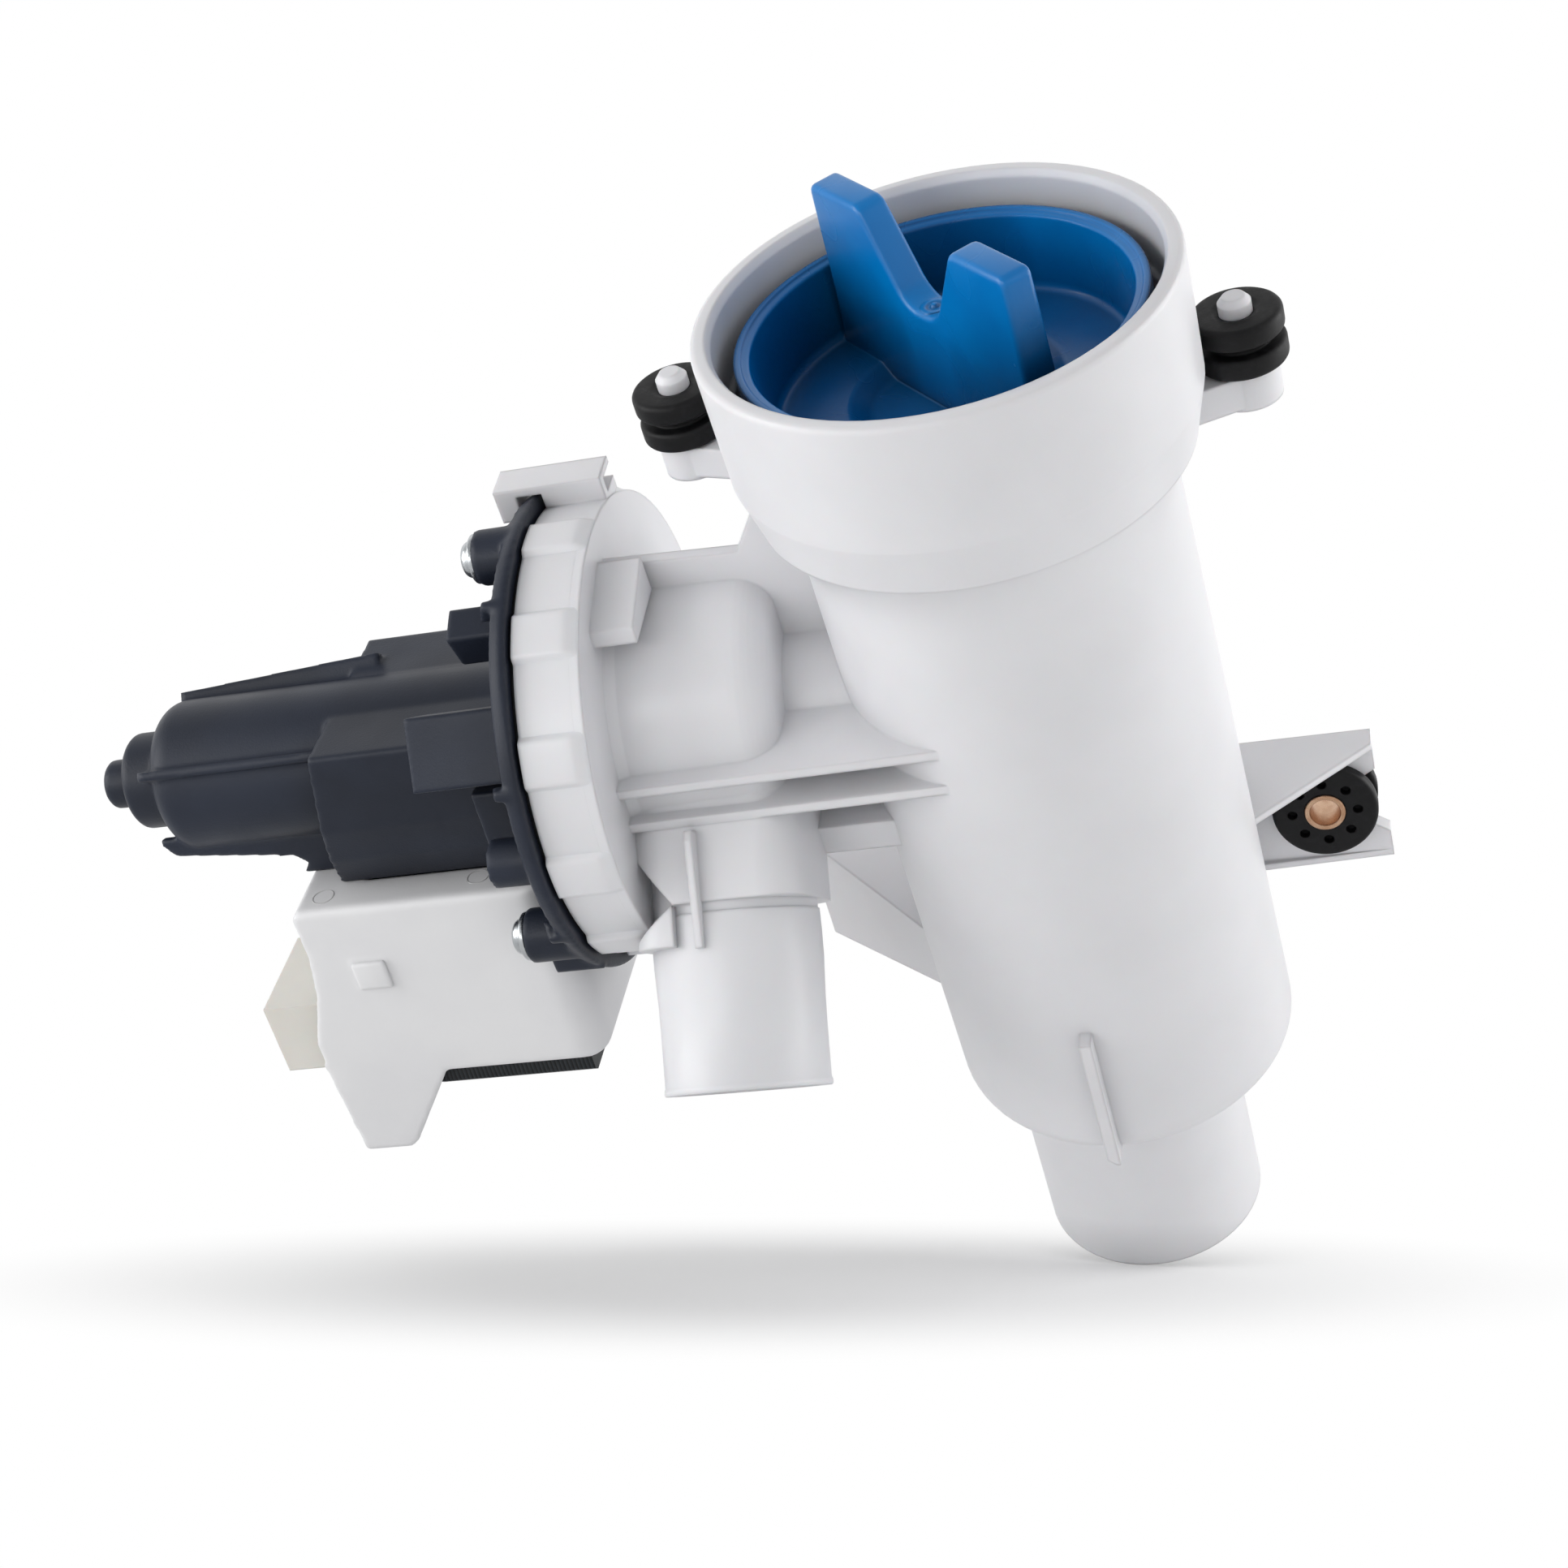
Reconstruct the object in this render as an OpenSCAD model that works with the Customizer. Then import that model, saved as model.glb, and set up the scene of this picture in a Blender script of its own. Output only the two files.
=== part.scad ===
// Drain pump of a front-loading washer: filter chamber, pump chamber and synchronous motor.
// Origin: centre of the inlet spigot's end face. +Z runs up the filter chamber to its cap.
// The motor points toward -X, and the side with the outlet port faces -Y.

/* [Filter chamber] */
// Height of the collar's rim above the inlet spigot's end
rim_z = 226.7; // [222:0.1:240]
// Outside radius of the collar round the cap
collar_r = 42.6; // [42:0.1:46]
// Height of the collar's straight wall
collar_h = 24.7; // [23:0.1:30]
// Height of the upper cone of the shoulder
shoulder_h = 10; // [9:0.1:13]
// Height of the hollow curve from the shoulder into the tube
neck_h = 13; // [10:0.1:14]
// How far the shoulder's upper cone draws in
shoulder_in = 3.1; // [2.4:0.1:3.8]
// Outside radius of the long tube
tube_r = 34.3; // [33.5:0.1:36]
// Bore of the long tube, radius
tube_bore_r = 29.3; // [28.8:0.1:29.6]
// Lean of the tube's outside toward the rear bracket, degrees
tube_lean = 0.9; // [0:0.05:1]
// Sideways place of the tube's outside at its top
tube_shift = 0.2; // [0:0.1:0.8]
// Rounding round the tube's closed bottom
dome_r = 7; // [6:0.5:12]
// Outside radius of the inlet spigot
inlet_r = 22.9; // [20:0.1:24]
// Height of the chamber's closed bottom above the inlet spigot's end
inlet_len = 46; // [40:0.5:50]
// Wall of the inlet spigot and of the outlet port
spigot_wall = 2.4; // [2:0.1:3]
// Thickness of stiffening ribs and webs
rib_t = 2; // [1.6:0.1:2.6]

/* [Cap and filter] */
// Outside radius of the cap's dish at its lip
lip_r = 36.2; // [35.5:0.1:36.8]
// Depth of the lip below the collar's rim
lip_drop = 5.1; // [3:0.1:8]
// Wall of the cap's dish
cap_wall = 2.8; // [2.4:0.1:3.4]
// Depth of the dish below its lip
dish_depth = 14.6; // [12:0.1:16]
// Height of the grip above the collar's rim
grip_rise = 13.2; // [10:0.1:18]
// Distance of each grip prong's middle from the axis
prong_reach = 21.5; // [19:0.1:22.5]
// Length of a prong's top along the grip
prong_len = 15.6; // [13:0.1:16]
// Thickness of the grip
grip_t = 5.9; // [5:0.1:8]
// Direction of the grip seen from above, degrees
grip_turn = -50.2; // [-80:0.1:-20]
// Outside radius of the filter basket
basket_r = 28.5; // [27.5:0.1:28.6]
// Length of the filter basket
basket_len = 126; // [110:1:130]
// Number of windows round the basket
basket_windows = 6; // [4:1:8]
// Number of rows of windows
basket_rows = 5; // [3:1:6]

/* [Pump chamber] */
// Height of the motor axis above the inlet spigot's end
axis_z = 143.5; // [138:0.1:150]
// Outside radius of the suction duct
duct_r = 17; // [16:0.1:18.5]
// Outside radius of the volute barrel at its tube end
barrel_r = 28.7; // [28.2:0.1:30]
// Height of the barrel's middle above the motor axis
barrel_up = 2; // [1:0.1:2.6]
// Distance of the barrel's end wall from the tube axis
barrel_x = 43; // [42.5:0.1:45]
// Distance of the pump flange's front face from the tube axis
flange_x = 72.9; // [71:0.1:75]
// Radius of the pump flange
flange_r = 44.5; // [44:0.1:46]
// Depth of the pump flange's rim
flange_h = 12.5; // [11:0.1:14]
// Radius of the round space that the impeller turns in
chamber_r = 25.5; // [25:0.1:26]
// Outside radius of the outlet port
outlet_r = 15.65; // [15:0.05:16.2]
// Distance of the outlet port's end from the motor axis
outlet_reach = 73.1; // [65:0.1:85]
// Plain length of the outlet port that takes the hose
port_len = 24.6; // [20:0.1:25]
// Sideways place of the outlet port, tangent to the chamber
outlet_side = 5; // [4:0.1:6]
// Distance of the outlet port from the tube axis
outlet_x = 59.05; // [58.6:0.05:59.4]
// Turn of the outlet port about the motor axis, degrees
outlet_turn = -133.8; // [-140:0.1:-125]

/* [Impeller] */
// Radius of the impeller over its blades
impeller_r = 20.5; // [18:0.1:21.5]
// Radius of the impeller's hub
hub_r = 7; // [6:0.1:8]
// Height of the blades along the shaft
blade_h = 20; // [16:0.5:21]
// Number of blades
blades = 8; // [5:1:8]

/* [Motor] */
// How far the motor's flange stands past the pump flange
motor_flange_over = 2.6; // [2.4:0.1:4]
// Thickness of the motor's flange
motor_flange_t = 3.3; // [2.6:0.1:4]
// Outside radius of the rotor can
can_r = 15.3; // [15.2:0.05:15.6]
// Length of the rotor can behind the flange's front face
can_len = 90; // [88:0.5:96]
// Turn of the stator and its cover about the motor axis, degrees
stator_turn = 5.4; // [0:0.1:8]
// Radius of the rotor magnet
magnet_r = 12.3; // [11.5:0.1:12.6]
// Length of the rotor magnet
magnet_len = 38; // [32:0.5:40]
// Radius of the rotor shaft
shaft_r = 2.5; // [2:0.1:3]
// Distance of the flange screws inside the pump flange's edge
screw_inset = 3; // [2.6:0.1:3.4]
// Radius of a flange screw's head
screw_head_r = 4.8; // [4.2:0.1:5]
// Thickness of the laminated core
core_t = 34; // [30:0.5:35]
// Half the width of the coil cover
cover_half = 25.2; // [24.6:0.1:27]
// Drop of the coil cover's top below the motor axis
cover_top = 19.5; // [19.2:0.1:20.5]
// Height of the coil cover
cover_h = 43.3; // [42:0.1:48]
// Length of the coil cover along the motor axis
cover_len = 54.8; // [54:0.2:58]
// Wall of the coil cover
cover_wall = 1.6; // [1.4:0.1:2]

/* [Rubber mounts] */
// Radius of the front rubber mounts
front_mount_r = 8.2; // [7.4:0.1:9]
// Height of the front rubber mounts
front_mount_h = 10; // [8:0.1:12]
// Width of the groove round a front mount
front_groove = 1.8; // [1.4:0.1:2.6]
// Radius of the rear rubber mount
rear_mount_r = 10.7; // [9.5:0.1:11.5]
// Length of the rear rubber mount
rear_mount_h = 10; // [9.6:0.1:12]
// Tilt of the rear mount's near end upward, degrees
rear_mount_tilt = 8; // [0:1:10]
// Height of the rear mount above the inlet spigot's end
rear_mount_z = 79.2; // [76:0.1:84]
// Sideways distance of the rear mount from the tube axis
rear_mount_x = 47.4; // [46:0.1:50]
// Distance of the rear bracket's plate behind the tube axis
rear_plate_y = 28.6; // [27:0.1:30]
// Bore of the brass sleeve in the rear mount, radius
sleeve_bore_r = 3.05; // [2.6:0.05:3.2]

/* [Hidden] */

$fn = 96;
white = "whitesmoke";
dark = "darkslategray";
over = 1;
run_gap = 0.05;
body_gap = 0.35;

collar_z = rim_z - collar_h;
shoulder_z = collar_z - shoulder_h;
neck_z = shoulder_z - neck_h;
shoulder_r = collar_r - shoulder_in;
collar_lip = 3.5;
collar_bore_r = collar_r - collar_lip;
seal_bore_r = lip_r + 2.2;
lip_z = rim_z - lip_drop;
dish_z = lip_z - dish_depth;
floor_t = 3;
seat_low = inlet_len + 0.45;
plug_h = 8;
plug_z = dish_z - plug_h;
plug_r = seal_bore_r - body_gap;
seat_z = lip_z - 7.6;
seal_h = 4;
seal_z = plug_z + 2.2;
hub_pin_r = 5;
hub_head = 1;
hub_head_h = 1.6;
basket_top = plug_z - body_gap;
basket_lid = 3;
basket_wall = 2;

arm_h = 6.4;
boss_r = 6.1;
boss_h = 7.4;
pin_r = 3;
pin_h = 12.8;
left_mount = [-55.3, 19, collar_z - 7];
right_mount = [47.3, 18, collar_z - 8.9];
groove_in = 2.4;

plate_t = 3.2;
slot_half = 5.5;
bracket_h = 31.5;
bracket_x = 58.3;
shelf_t = 1.6;
rear_groove_w = 4.7;
rear_mount_y = 30;
sleeve_r = 4.15;

motor_x = flange_x + flange_h + 0.8;
screw_shank_r = 1.9;
screw_circle_r = flange_r - screw_inset;
motor_flange_r = flange_r + motor_flange_over;
screw_tip_x = motor_x - 8.3;
seal_t = 0.8;
rim_wall = 4;
wall_t = 3.2;
chamber_x = barrel_x + wall_t;
can_wall = 1.7;
can_bore_r = can_r - can_wall;
can_end = motor_x + can_len;
can_round = 5;
step_r = 9.8;
step_end = can_end + 8;
tail_r = 5;
tail_end = step_end + 6.7;
bearing_seat_r = 8;
rear_bearing_x = can_end - 5;
bearing_len = 10;

holder_r = chamber_r + barrel_up + 0.5;
holder_x = motor_x - 2.2;
holder_len = 13;
bearing_r = 5;
impeller_x = chamber_x + 9;
magnet_x = motor_x + 19;
drum_x = magnet_x + magnet_len;
drum_len = 24;
drum_r = 11.4;
drum_wall = 1.8;
drum_floor = 3;
dog_r = 4.6;
dog_reach = 8.8;
dog_x = drum_x + drum_floor + 2;
dog_len = 12;
shaft_x = impeller_x + 3;
shaft_end = rear_bearing_x + bearing_len - 1;

core_x = motor_x + 14.8;
core_gap = 0.3;
pole_half = 20.2;
pole_top = 12;
pole_low = 4.5;
leg_in = 7;
leg_out = 14.2;
yoke_half = 21;
core_low = cover_top + cover_h + 6.6;
yoke_h = 8.6;
pocket_half = 22;
pocket_top = 13.7;
pocket_low = 3.3;
pocket_foot = 15.9;
pocket_x = 141.7;
pocket_slant = 10.3;
cover_x = 95.6;
cover_end = cover_x + cover_len;
coil_top = cover_top + 4;
coil_low = core_low - yoke_h - 1.4;
bobbin_t = 1;
coil_t = 2.4;
leg_bottom = core_low + 12.4;
cover_low = cover_top + cover_h;
block_top = 46.2;
block_front = 20;
block_w = 24;
block_h = 16.5;
block_len = 17.2;
blade_t = 0.8;
blade_w = 6.3;
blade_len = block_len - 4.2;

// Local frame with its Z along the motor axis away from the tube and its X upward
module motor_frame() {
    translate([0, 0, axis_z]) rotate([0, -90, 0]) children();
}

// The motor frame turned with the stator and its cover
module stator_frame() {
    motor_frame() rotate([0, 0, stator_turn]) children();
}

// Local frame with its X along the outlet port and its Z along the motor axis
module outlet_frame() {
    motor_frame() rotate([0, 0, outlet_turn]) children();
}

// A round tube between two distances along the local Z
module ring_at(z0, z1, r_out, r_in) {
    translate([0, 0, z0]) difference() {
        cylinder(h = z1 - z0, r = r_out);
        if (r_in > 0) translate([0, 0, -over]) cylinder(h = z1 - z0 + 2 * over, r = r_in);
    }
}

// A flat square with round corners, made of true circles
module rounded_plan(w, h, r) {
    square([w - 2 * r, h], center = true);
    square([w, h - 2 * r], center = true);
    for (sx = [-1, 1], sy = [-1, 1]) translate([sx * (w / 2 - r), sy * (h / 2 - r)]) circle(r);
}

function arc_points(cx, cy, r, a0, a1, n) =
    [for (i = [0 : n]) [cx + r * cos(a0 + (a1 - a0) * i / n), cy + r * sin(a0 + (a1 - a0) * i / n)]];

// Outside of the collar and its sloping shoulder
module collar_outside() {
    rotate_extrude() polygon([[0, shoulder_z], [0, rim_z], [collar_r - 1, rim_z],
        [collar_r - 0.3, rim_z - 0.3], [collar_r, rim_z - 1], [collar_r - 0.5, collar_z],
        [shoulder_r, shoulder_z]]);
}

// Outside of the long tube, with its coved neck and rounded bottom, leaning a little
module tube_outside() {
    neck_r = shoulder_r - tube_shift - 0.2;
    draw_in = neck_r - tube_r;
    cove_r = (draw_in * draw_in + neck_h * neck_h) / (2 * draw_in);
    translate([tube_shift, 0, shoulder_z]) rotate([0, -tube_lean, 0]) translate([0, 0, -shoulder_z])
        rotate_extrude() difference() {
            union() {
                translate([0, inlet_len + dome_r]) square([tube_r, neck_z - inlet_len - dome_r]);
                translate([0, inlet_len]) square([tube_r - dome_r, dome_r + over]);
                translate([tube_r - dome_r, inlet_len + dome_r]) circle(dome_r);
                translate([0, neck_z]) square([neck_r, neck_h + 2]);
            }
            translate([tube_r + cove_r, neck_z]) circle(cove_r);
            translate([-dome_r, inlet_len]) square([dome_r, neck_z]);
        }
}

// The flat below which nothing of the leaning tube hangs, so that a hose seats square on the spigot
module below_seat() {
    translate([0, 0, seat_low - 4]) cylinder(h = 4, r = tube_r + 4);
}

// Everything hollow in the filter chamber, from the rim down through the inlet
module chamber_hollow() {
    low = inlet_len + wall_t;
    inner_round = dome_r / 2;
    rotate_extrude() polygon(concat([[0, low], [0, rim_z + over], [collar_bore_r + 0.8, rim_z + over],
        [collar_bore_r + 0.8, rim_z], [collar_bore_r, rim_z - 1.4], [collar_bore_r, seat_z],
        [seal_bore_r, seat_z - 1], [seal_bore_r, plug_z - 2], [tube_bore_r, neck_z + 6]],
        arc_points(tube_bore_r - inner_round, low + inner_round, inner_round, 0, -90, 8)));
    translate([0, 0, -over]) cylinder(h = low + 2 * over, r = inlet_r - spigot_wall);
}

// Outside of the volute barrel and the suction duct that joins it to the tube
module barrel_outside() {
    fillet = 7;
    motor_frame() {
        cylinder(h = barrel_x + over, r = duct_r);
        translate([barrel_up, 0, 0]) rotate_extrude() polygon(concat([[0, barrel_x]],
            arc_points(barrel_r - fillet, barrel_x + fillet, fillet, -90, 0, 8),
            [[barrel_r + 0.6, flange_x - 2], [barrel_r + 2, flange_x + over], [0, flange_x + over]]));
    }
}

// The round pump flange: front wall, rim with pressed pads and the screw bosses inside it
module pump_flange() {
    pads = 12;
    pad_turn = 8.5;
    pad_h = 9.5;
    motor_frame() {
        ring_at(flange_x, flange_x + wall_t, flange_r, 0);
        rotate([0, 0, 15]) rotate_extrude() polygon([[flange_r - rim_wall, flange_x], [flange_r - 2, flange_x],
            [flange_r - 0.6, flange_x + 0.6], [flange_r, flange_x + 2],
            [flange_r, flange_x + flange_h], [flange_r - rim_wall, flange_x + flange_h]]);
        translate([barrel_up, 0, 0]) ring_at(flange_x, flange_x + flange_h - 1.6, chamber_r + 4, 0);
        for (i = [0 : pads - 1]) rotate([0, 0, i * 360 / pads - pad_turn / 2])
            translate([0, 0, flange_x + flange_h - pad_h]) rotate_extrude(angle = pad_turn)
                polygon([[flange_r - 1, 0], [flange_r + 0.2, 0], [flange_r + 0.9, 1.2],
                    [flange_r + 0.9, pad_h], [flange_r - 1, pad_h]]);
        for (a = screw_turns()) rotate([0, 0, a]) translate([screw_circle_r - 2.6, 0, flange_x])
            cylinder(h = flange_h, r = 5.4);
        for (i = [0 : 5]) rotate([0, 0, i * 60 + 30]) translate([chamber_r, -rib_t / 2, flange_x])
            cube([flange_r - chamber_r - 2, rib_t, flange_h - 4]);
    }
}

function screw_turns() = [1.4, -120, 120];

// The outlet: a block on the barrel that rounds into the port
module outlet_outside() {
    root_r = outlet_r + 0.35;
    block_w = 2 * root_r + 0.4;
    right_end = 38.2;
    left_end = 46;
    stop_start = left_end + 0.3;
    outlet_frame() translate([0, outlet_side, outlet_x]) {
        difference() {
            rotate([0, 90, 0]) linear_extrude(left_end) rounded_plan(block_w, block_w, 7);
            translate([right_end, -block_w, -outlet_r - over]) cube([20, 2 * block_w, outlet_r + 8.4]);
            translate([right_end, -block_w, 7.2]) rotate([0, -52, 0]) cube([20, 2 * block_w, 30]);
        }
        rotate([0, 90, 0]) cylinder(h = outlet_reach, r = outlet_r);
        translate([stop_start, 0, 0]) rotate([0, 90, 0])
            cylinder(h = outlet_reach - port_len - stop_start, r = root_r);
        translate([25.2, outlet_r - 1, 1.6]) linear_extrude(1.5)
            polygon([[0, 0], [0, 4.6], [2, 5], [21.5, 2.6], [21.5, 0]]);
    }
}

// Hollow of the pump chamber, the suction duct and the outlet
module pump_hollow() {
    motor_frame() {
        cylinder(h = chamber_x + over, r = duct_r - wall_t + 0.4);
        translate([barrel_up, 0, chamber_x])
            cylinder(h = flange_x + flange_h - chamber_x + over, r = chamber_r);
    }
    outlet_frame() translate([0, outlet_side, outlet_x]) rotate([0, 90, 0])
        cylinder(h = outlet_reach + over, r = outlet_r - spigot_wall);
    for (a = screw_turns()) motor_frame() rotate([0, 0, a])
        translate([screw_circle_r, 0, flange_x + 3]) cylinder(h = flange_h, r = screw_shank_r + run_gap);
}

// Ribs and webs that tie the barrel, the outlet and the tube together
module stiffeners() {
    web_top = axis_z + 37;
    rib_front = 32.5;
    rotate([90, 0, 0]) translate([0, 0, -1.25]) linear_extrude(2.5)
        polygon([[-flange_x - 1, axis_z + barrel_r - 3], [-flange_x - 1, web_top + 0.5],
            [-47, web_top - 0.5], [-42.8, web_top + 6.5], [-39, shoulder_z + 1],
            [-20, shoulder_z + 1], [-20, axis_z]]);
    for (z = [axis_z + 7.9, axis_z - 0.2]) translate([0, 0, z - rib_t / 2]) linear_extrude(rib_t)
        polygon([[-flange_x - 1, 0], [-flange_x - 1, -rib_front], [-12, -rib_front + 1], [-12, 0]]);
    translate([-45.6, -18, axis_z - 23.5]) cube([25, 18, 6.4]);
}

// One arm with its boss and grommet pin beside the collar
module mount_arm(at) {
    turn = atan2(at[1], at[0]);
    reach = norm([at[0], at[1]]);
    translate([0, 0, at[2] - arm_h - 0.3]) rotate([0, 0, turn]) difference() {
        translate([30, -boss_r + 0.6, 0]) cube([reach - 31.2, 2 * boss_r - 1.2, arm_h]);
        translate([collar_r + 1.5, -boss_r + 3, -over]) cube([reach - collar_r - 6.5, 2 * boss_r - 6, arm_h - 2]);
    }
    translate([0, 0, -boss_h]) translate(at) cylinder(h = boss_h, r = boss_r);
    translate([0, 0, -over]) translate(at) cylinder(h = pin_h + over - 1.2, r = pin_r);
    translate([0, 0, pin_h - 1.2]) translate(at) cylinder(h = 1.2, r1 = pin_r, r2 = pin_r - 1);
}

// Rear bracket: upright plate with an open slot, and a shelf above and below it
module rear_bracket() {
    low = rear_mount_z - bracket_h / 2;
    high = low + bracket_h;
    lead = 3.5;
    half = bracket_h / 2;
    root = 17;
    translate([0, rear_plate_y + plate_t, rear_mount_z]) rotate([90, 0, 0]) linear_extrude(plate_t)
        polygon([[root, -half], [bracket_x + 1.3, -half], [bracket_x + 1.3, -half + 6.6],
            [bracket_x - lead, -slot_half], [rear_mount_x, -slot_half], [rear_mount_x - slot_half, -2.4],
            [rear_mount_x - slot_half, 2.4], [rear_mount_x, slot_half], [bracket_x - lead, slot_half],
            [bracket_x, slot_half + 2.4], [bracket_x, half], [root, half]]);
    translate([0, 0, high - shelf_t]) linear_extrude(shelf_t)
        polygon([[20, 8], [35.3, 8], [bracket_x, rear_plate_y - 1.6], [bracket_x, rear_plate_y + plate_t],
            [14, rear_plate_y + plate_t]]);
    translate([0, 0, low]) linear_extrude(shelf_t)
        polygon([[24, 18], [30, rear_plate_y - 1.1], [bracket_x + 1.3, rear_plate_y],
            [bracket_x + 1.3, rear_plate_y + plate_t], [14, rear_plate_y + plate_t]]);
}

// Gusset behind the outlet: a shelf with an upright wall along its slanting edge
module left_gusset() {
    shelf_z = rear_mount_z - 1.2;
    edge_turn = 48;
    edge_len = 46.5;
    near = [-33.2, 3.2];
    far = near + edge_len * [-cos(edge_turn), sin(edge_turn)];
    translate([0, 0, shelf_z - shelf_t]) linear_extrude(shelf_t)
        polygon([[-30, 4], near, [far[0], far[1] - 1.6], [-12, far[1] - 1.6]]);
    translate([near[0], near[1], shelf_z]) rotate([0, 0, 180 - edge_turn]) rotate([90, 0, 0])
        translate([0, 0, -shelf_t / 2]) linear_extrude(shelf_t)
            polygon([[-4, 0], [edge_len, 0], [edge_len, -28.5], [-4, -14]]);
}

// Blocks and hooks on the pump flange, and the fin at the foot of the tube
module hooks_and_fin() {
    tab_len = 8.4;
    hook_back = 14;
    hook_t = 7.4;
    hook_top = flange_r + 2.6;
    hook_reach = flange_h + 9;
    fin_low = inlet_len + 2.5;
    fin_h = 33.5;
    motor_frame() {
        translate([0, 0, flange_x - tab_len]) linear_extrude(tab_len + over)
            polygon([[flange_r - 5.3, -2.4], [flange_r - 9.7, -18], [flange_r - 13, -18.5],
                [flange_r - 12.8, -2.4]]);
        translate([0, 0, flange_x + 0.3]) difference() {
            translate([hook_top - 7, hook_back, 0]) cube([7, hook_t, hook_reach]);
            translate([0, 0, flange_h - 0.3]) cylinder(h = motor_flange_t + seal_t + 1, r = motor_flange_r + 0.4);
            translate([hook_top - 4.4, hook_back + 1.8, -over]) cube([3, hook_t, 8]);
            translate([hook_top, hook_back - over, hook_reach - 2.6]) rotate([0, 35, 0])
                cube([6, hook_t + 2 * over, 6]);
        }
    }
    translate([-0.2, 0, fin_low]) rotate([90, 0, 0]) translate([0, 0, tube_r - 4.3]) linear_extrude(8)
        polygon([[0, 1.5], [1.5, 0], [2.4, 0], [2.4, fin_h], [0, fin_h]]);
}

module filter_housing() {
    color(white) difference() {
        union() {
            collar_outside();
            difference() {
                tube_outside();
                below_seat();
            }
            cylinder(h = inlet_len + wall_t, r = inlet_r);
            barrel_outside();
            pump_flange();
            outlet_outside();
            stiffeners();
            mount_arm(left_mount);
            mount_arm(right_mount);
            rear_bracket();
            left_gusset();
            hooks_and_fin();
        }
        chamber_hollow();
        pump_hollow();
        translate([rear_mount_x, rear_mount_y, rear_mount_z]) rotate([90 - rear_mount_tilt, 0, 0])
            translate([0, 0, -rear_groove_w / 2 - over])
                cylinder(h = rear_groove_w + 2 * over, r = slot_half);
    }
}

// The grip: two prongs that rise from a low saddle, drawn in its own plane
module grip() {
    top = rim_z + grip_rise - dish_z;
    saddle = lip_z + 1.4 - dish_z;
    foot = lip_r - cap_wall - 1.2;
    outer = prong_reach + prong_len / 2;
    inner = prong_reach - prong_len / 2;
    aside = -0.65;
    translate([0, 0, dish_z - over]) rotate([0, 0, grip_turn]) rotate([90, 0, 0])
        translate([aside, 0, -grip_t / 2]) linear_extrude(grip_t)
            polygon([[-foot, 0], [-foot + 1.5, top * 0.35], [-outer, top - 1.5], [-outer + 1.2, top],
                [-inner - 1.2, top], [-inner, top - 1.2], [-6, saddle + 1], [-4, saddle], [4, saddle],
                [6, saddle + 1], [inner, top - 1.2], [inner + 1.2, top], [outer - 1.2, top],
                [outer, top - 1.5], [foot - 1.5, top * 0.35], [foot, 0]]);
}

module filter_cap() {
    in_top = lip_r - cap_wall;
    in_low = in_top - 1.4;
    hub_z = basket_top - basket_lid - body_gap;
    color("royalblue") {
        difference() {
            rotate_extrude() polygon([[0, plug_z], [plug_r, plug_z], [plug_r, seal_z],
                [lip_r, seal_z], [lip_r, seal_z + seal_h], [plug_r, seal_z + seal_h],
                [plug_r, seat_z - 2.6], [plug_r - 0.6, seat_z - 1.6], [lip_r, seat_z - 1],
                [lip_r, lip_z - 0.6], [lip_r - 0.6, lip_z], [lip_r - 1.3, lip_z],
                [lip_r - 1.5, lip_z - 0.5], [in_top + 0.6, lip_z - 0.5], [in_top, lip_z - 1.1],
                [in_low, dish_z + 2], [in_low - 2, dish_z], [0, dish_z]]);
            ring_at(plug_z - over, dish_z - floor_t, plug_r - 4.4, hub_pin_r + 3);
        }
        grip();
        translate([0, 0, hub_z]) cylinder(h = plug_z - hub_z + over, r = hub_pin_r);
        translate([0, 0, hub_z - hub_head_h]) cylinder(h = hub_head_h, r1 = hub_pin_r - 0.6, r2 = hub_pin_r + hub_head);
    }
}

module cap_seal() {
    color("black") rotate_extrude() translate([lip_r + 0.1, seal_z + 0.2])
        polygon([[0, 0], [1.5, 0], [1.85, 1], [1.85, seal_h - 1.4], [1.5, seal_h - 0.4], [0, seal_h - 0.4]]);
}

// The basket under the cap: lid with the swivel hole, slotted wall and open foot ring
module debris_filter() {
    low = basket_top - basket_len;
    pitch = (basket_len - basket_lid - 6) / basket_rows;
    bar = 5;
    color("cornflowerblue") difference() {
        ring_at(low, basket_top, basket_r, 0);
        translate([0, 0, low - over]) cylinder(h = basket_len - basket_lid + over, r = basket_r - basket_wall);
        translate([0, 0, low]) cylinder(h = basket_len + over, r = hub_pin_r + run_gap);
        for (row = [0 : basket_rows - 1], k = [0 : basket_windows - 1])
            rotate([0, 0, k * 360 / basket_windows + 20])
                translate([basket_r - basket_wall - 4, -window_half(), low + 5 + row * pitch])
                    cube([basket_wall + 6, 2 * window_half(), pitch - bar]);
    }
}

function window_half() = basket_r * sin(180 / basket_windows) - 3;

// A rubber spool: two discs with a groove between them and a bore
module spool(r, h, groove_w, groove_r, bore) {
    edge = 0.8;
    disc = (h - groove_w) / 2;
    rotate_extrude() polygon([[bore, 0], [r - edge, 0], [r, edge], [r, disc - edge], [r - edge, disc],
        [groove_r, disc], [groove_r, disc + groove_w], [r - edge, disc + groove_w],
        [r, disc + groove_w + edge], [r, h - edge], [r - edge, h], [bore, h]]);
}

module front_grommet_left() {
    color("black") translate(left_mount)
        spool(front_mount_r, front_mount_h, front_groove, front_mount_r - groove_in, pin_r + run_gap);
}

module front_grommet_right() {
    color("black") translate(right_mount)
        spool(front_mount_r, front_mount_h, front_groove, front_mount_r - groove_in, pin_r + run_gap);
}

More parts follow.
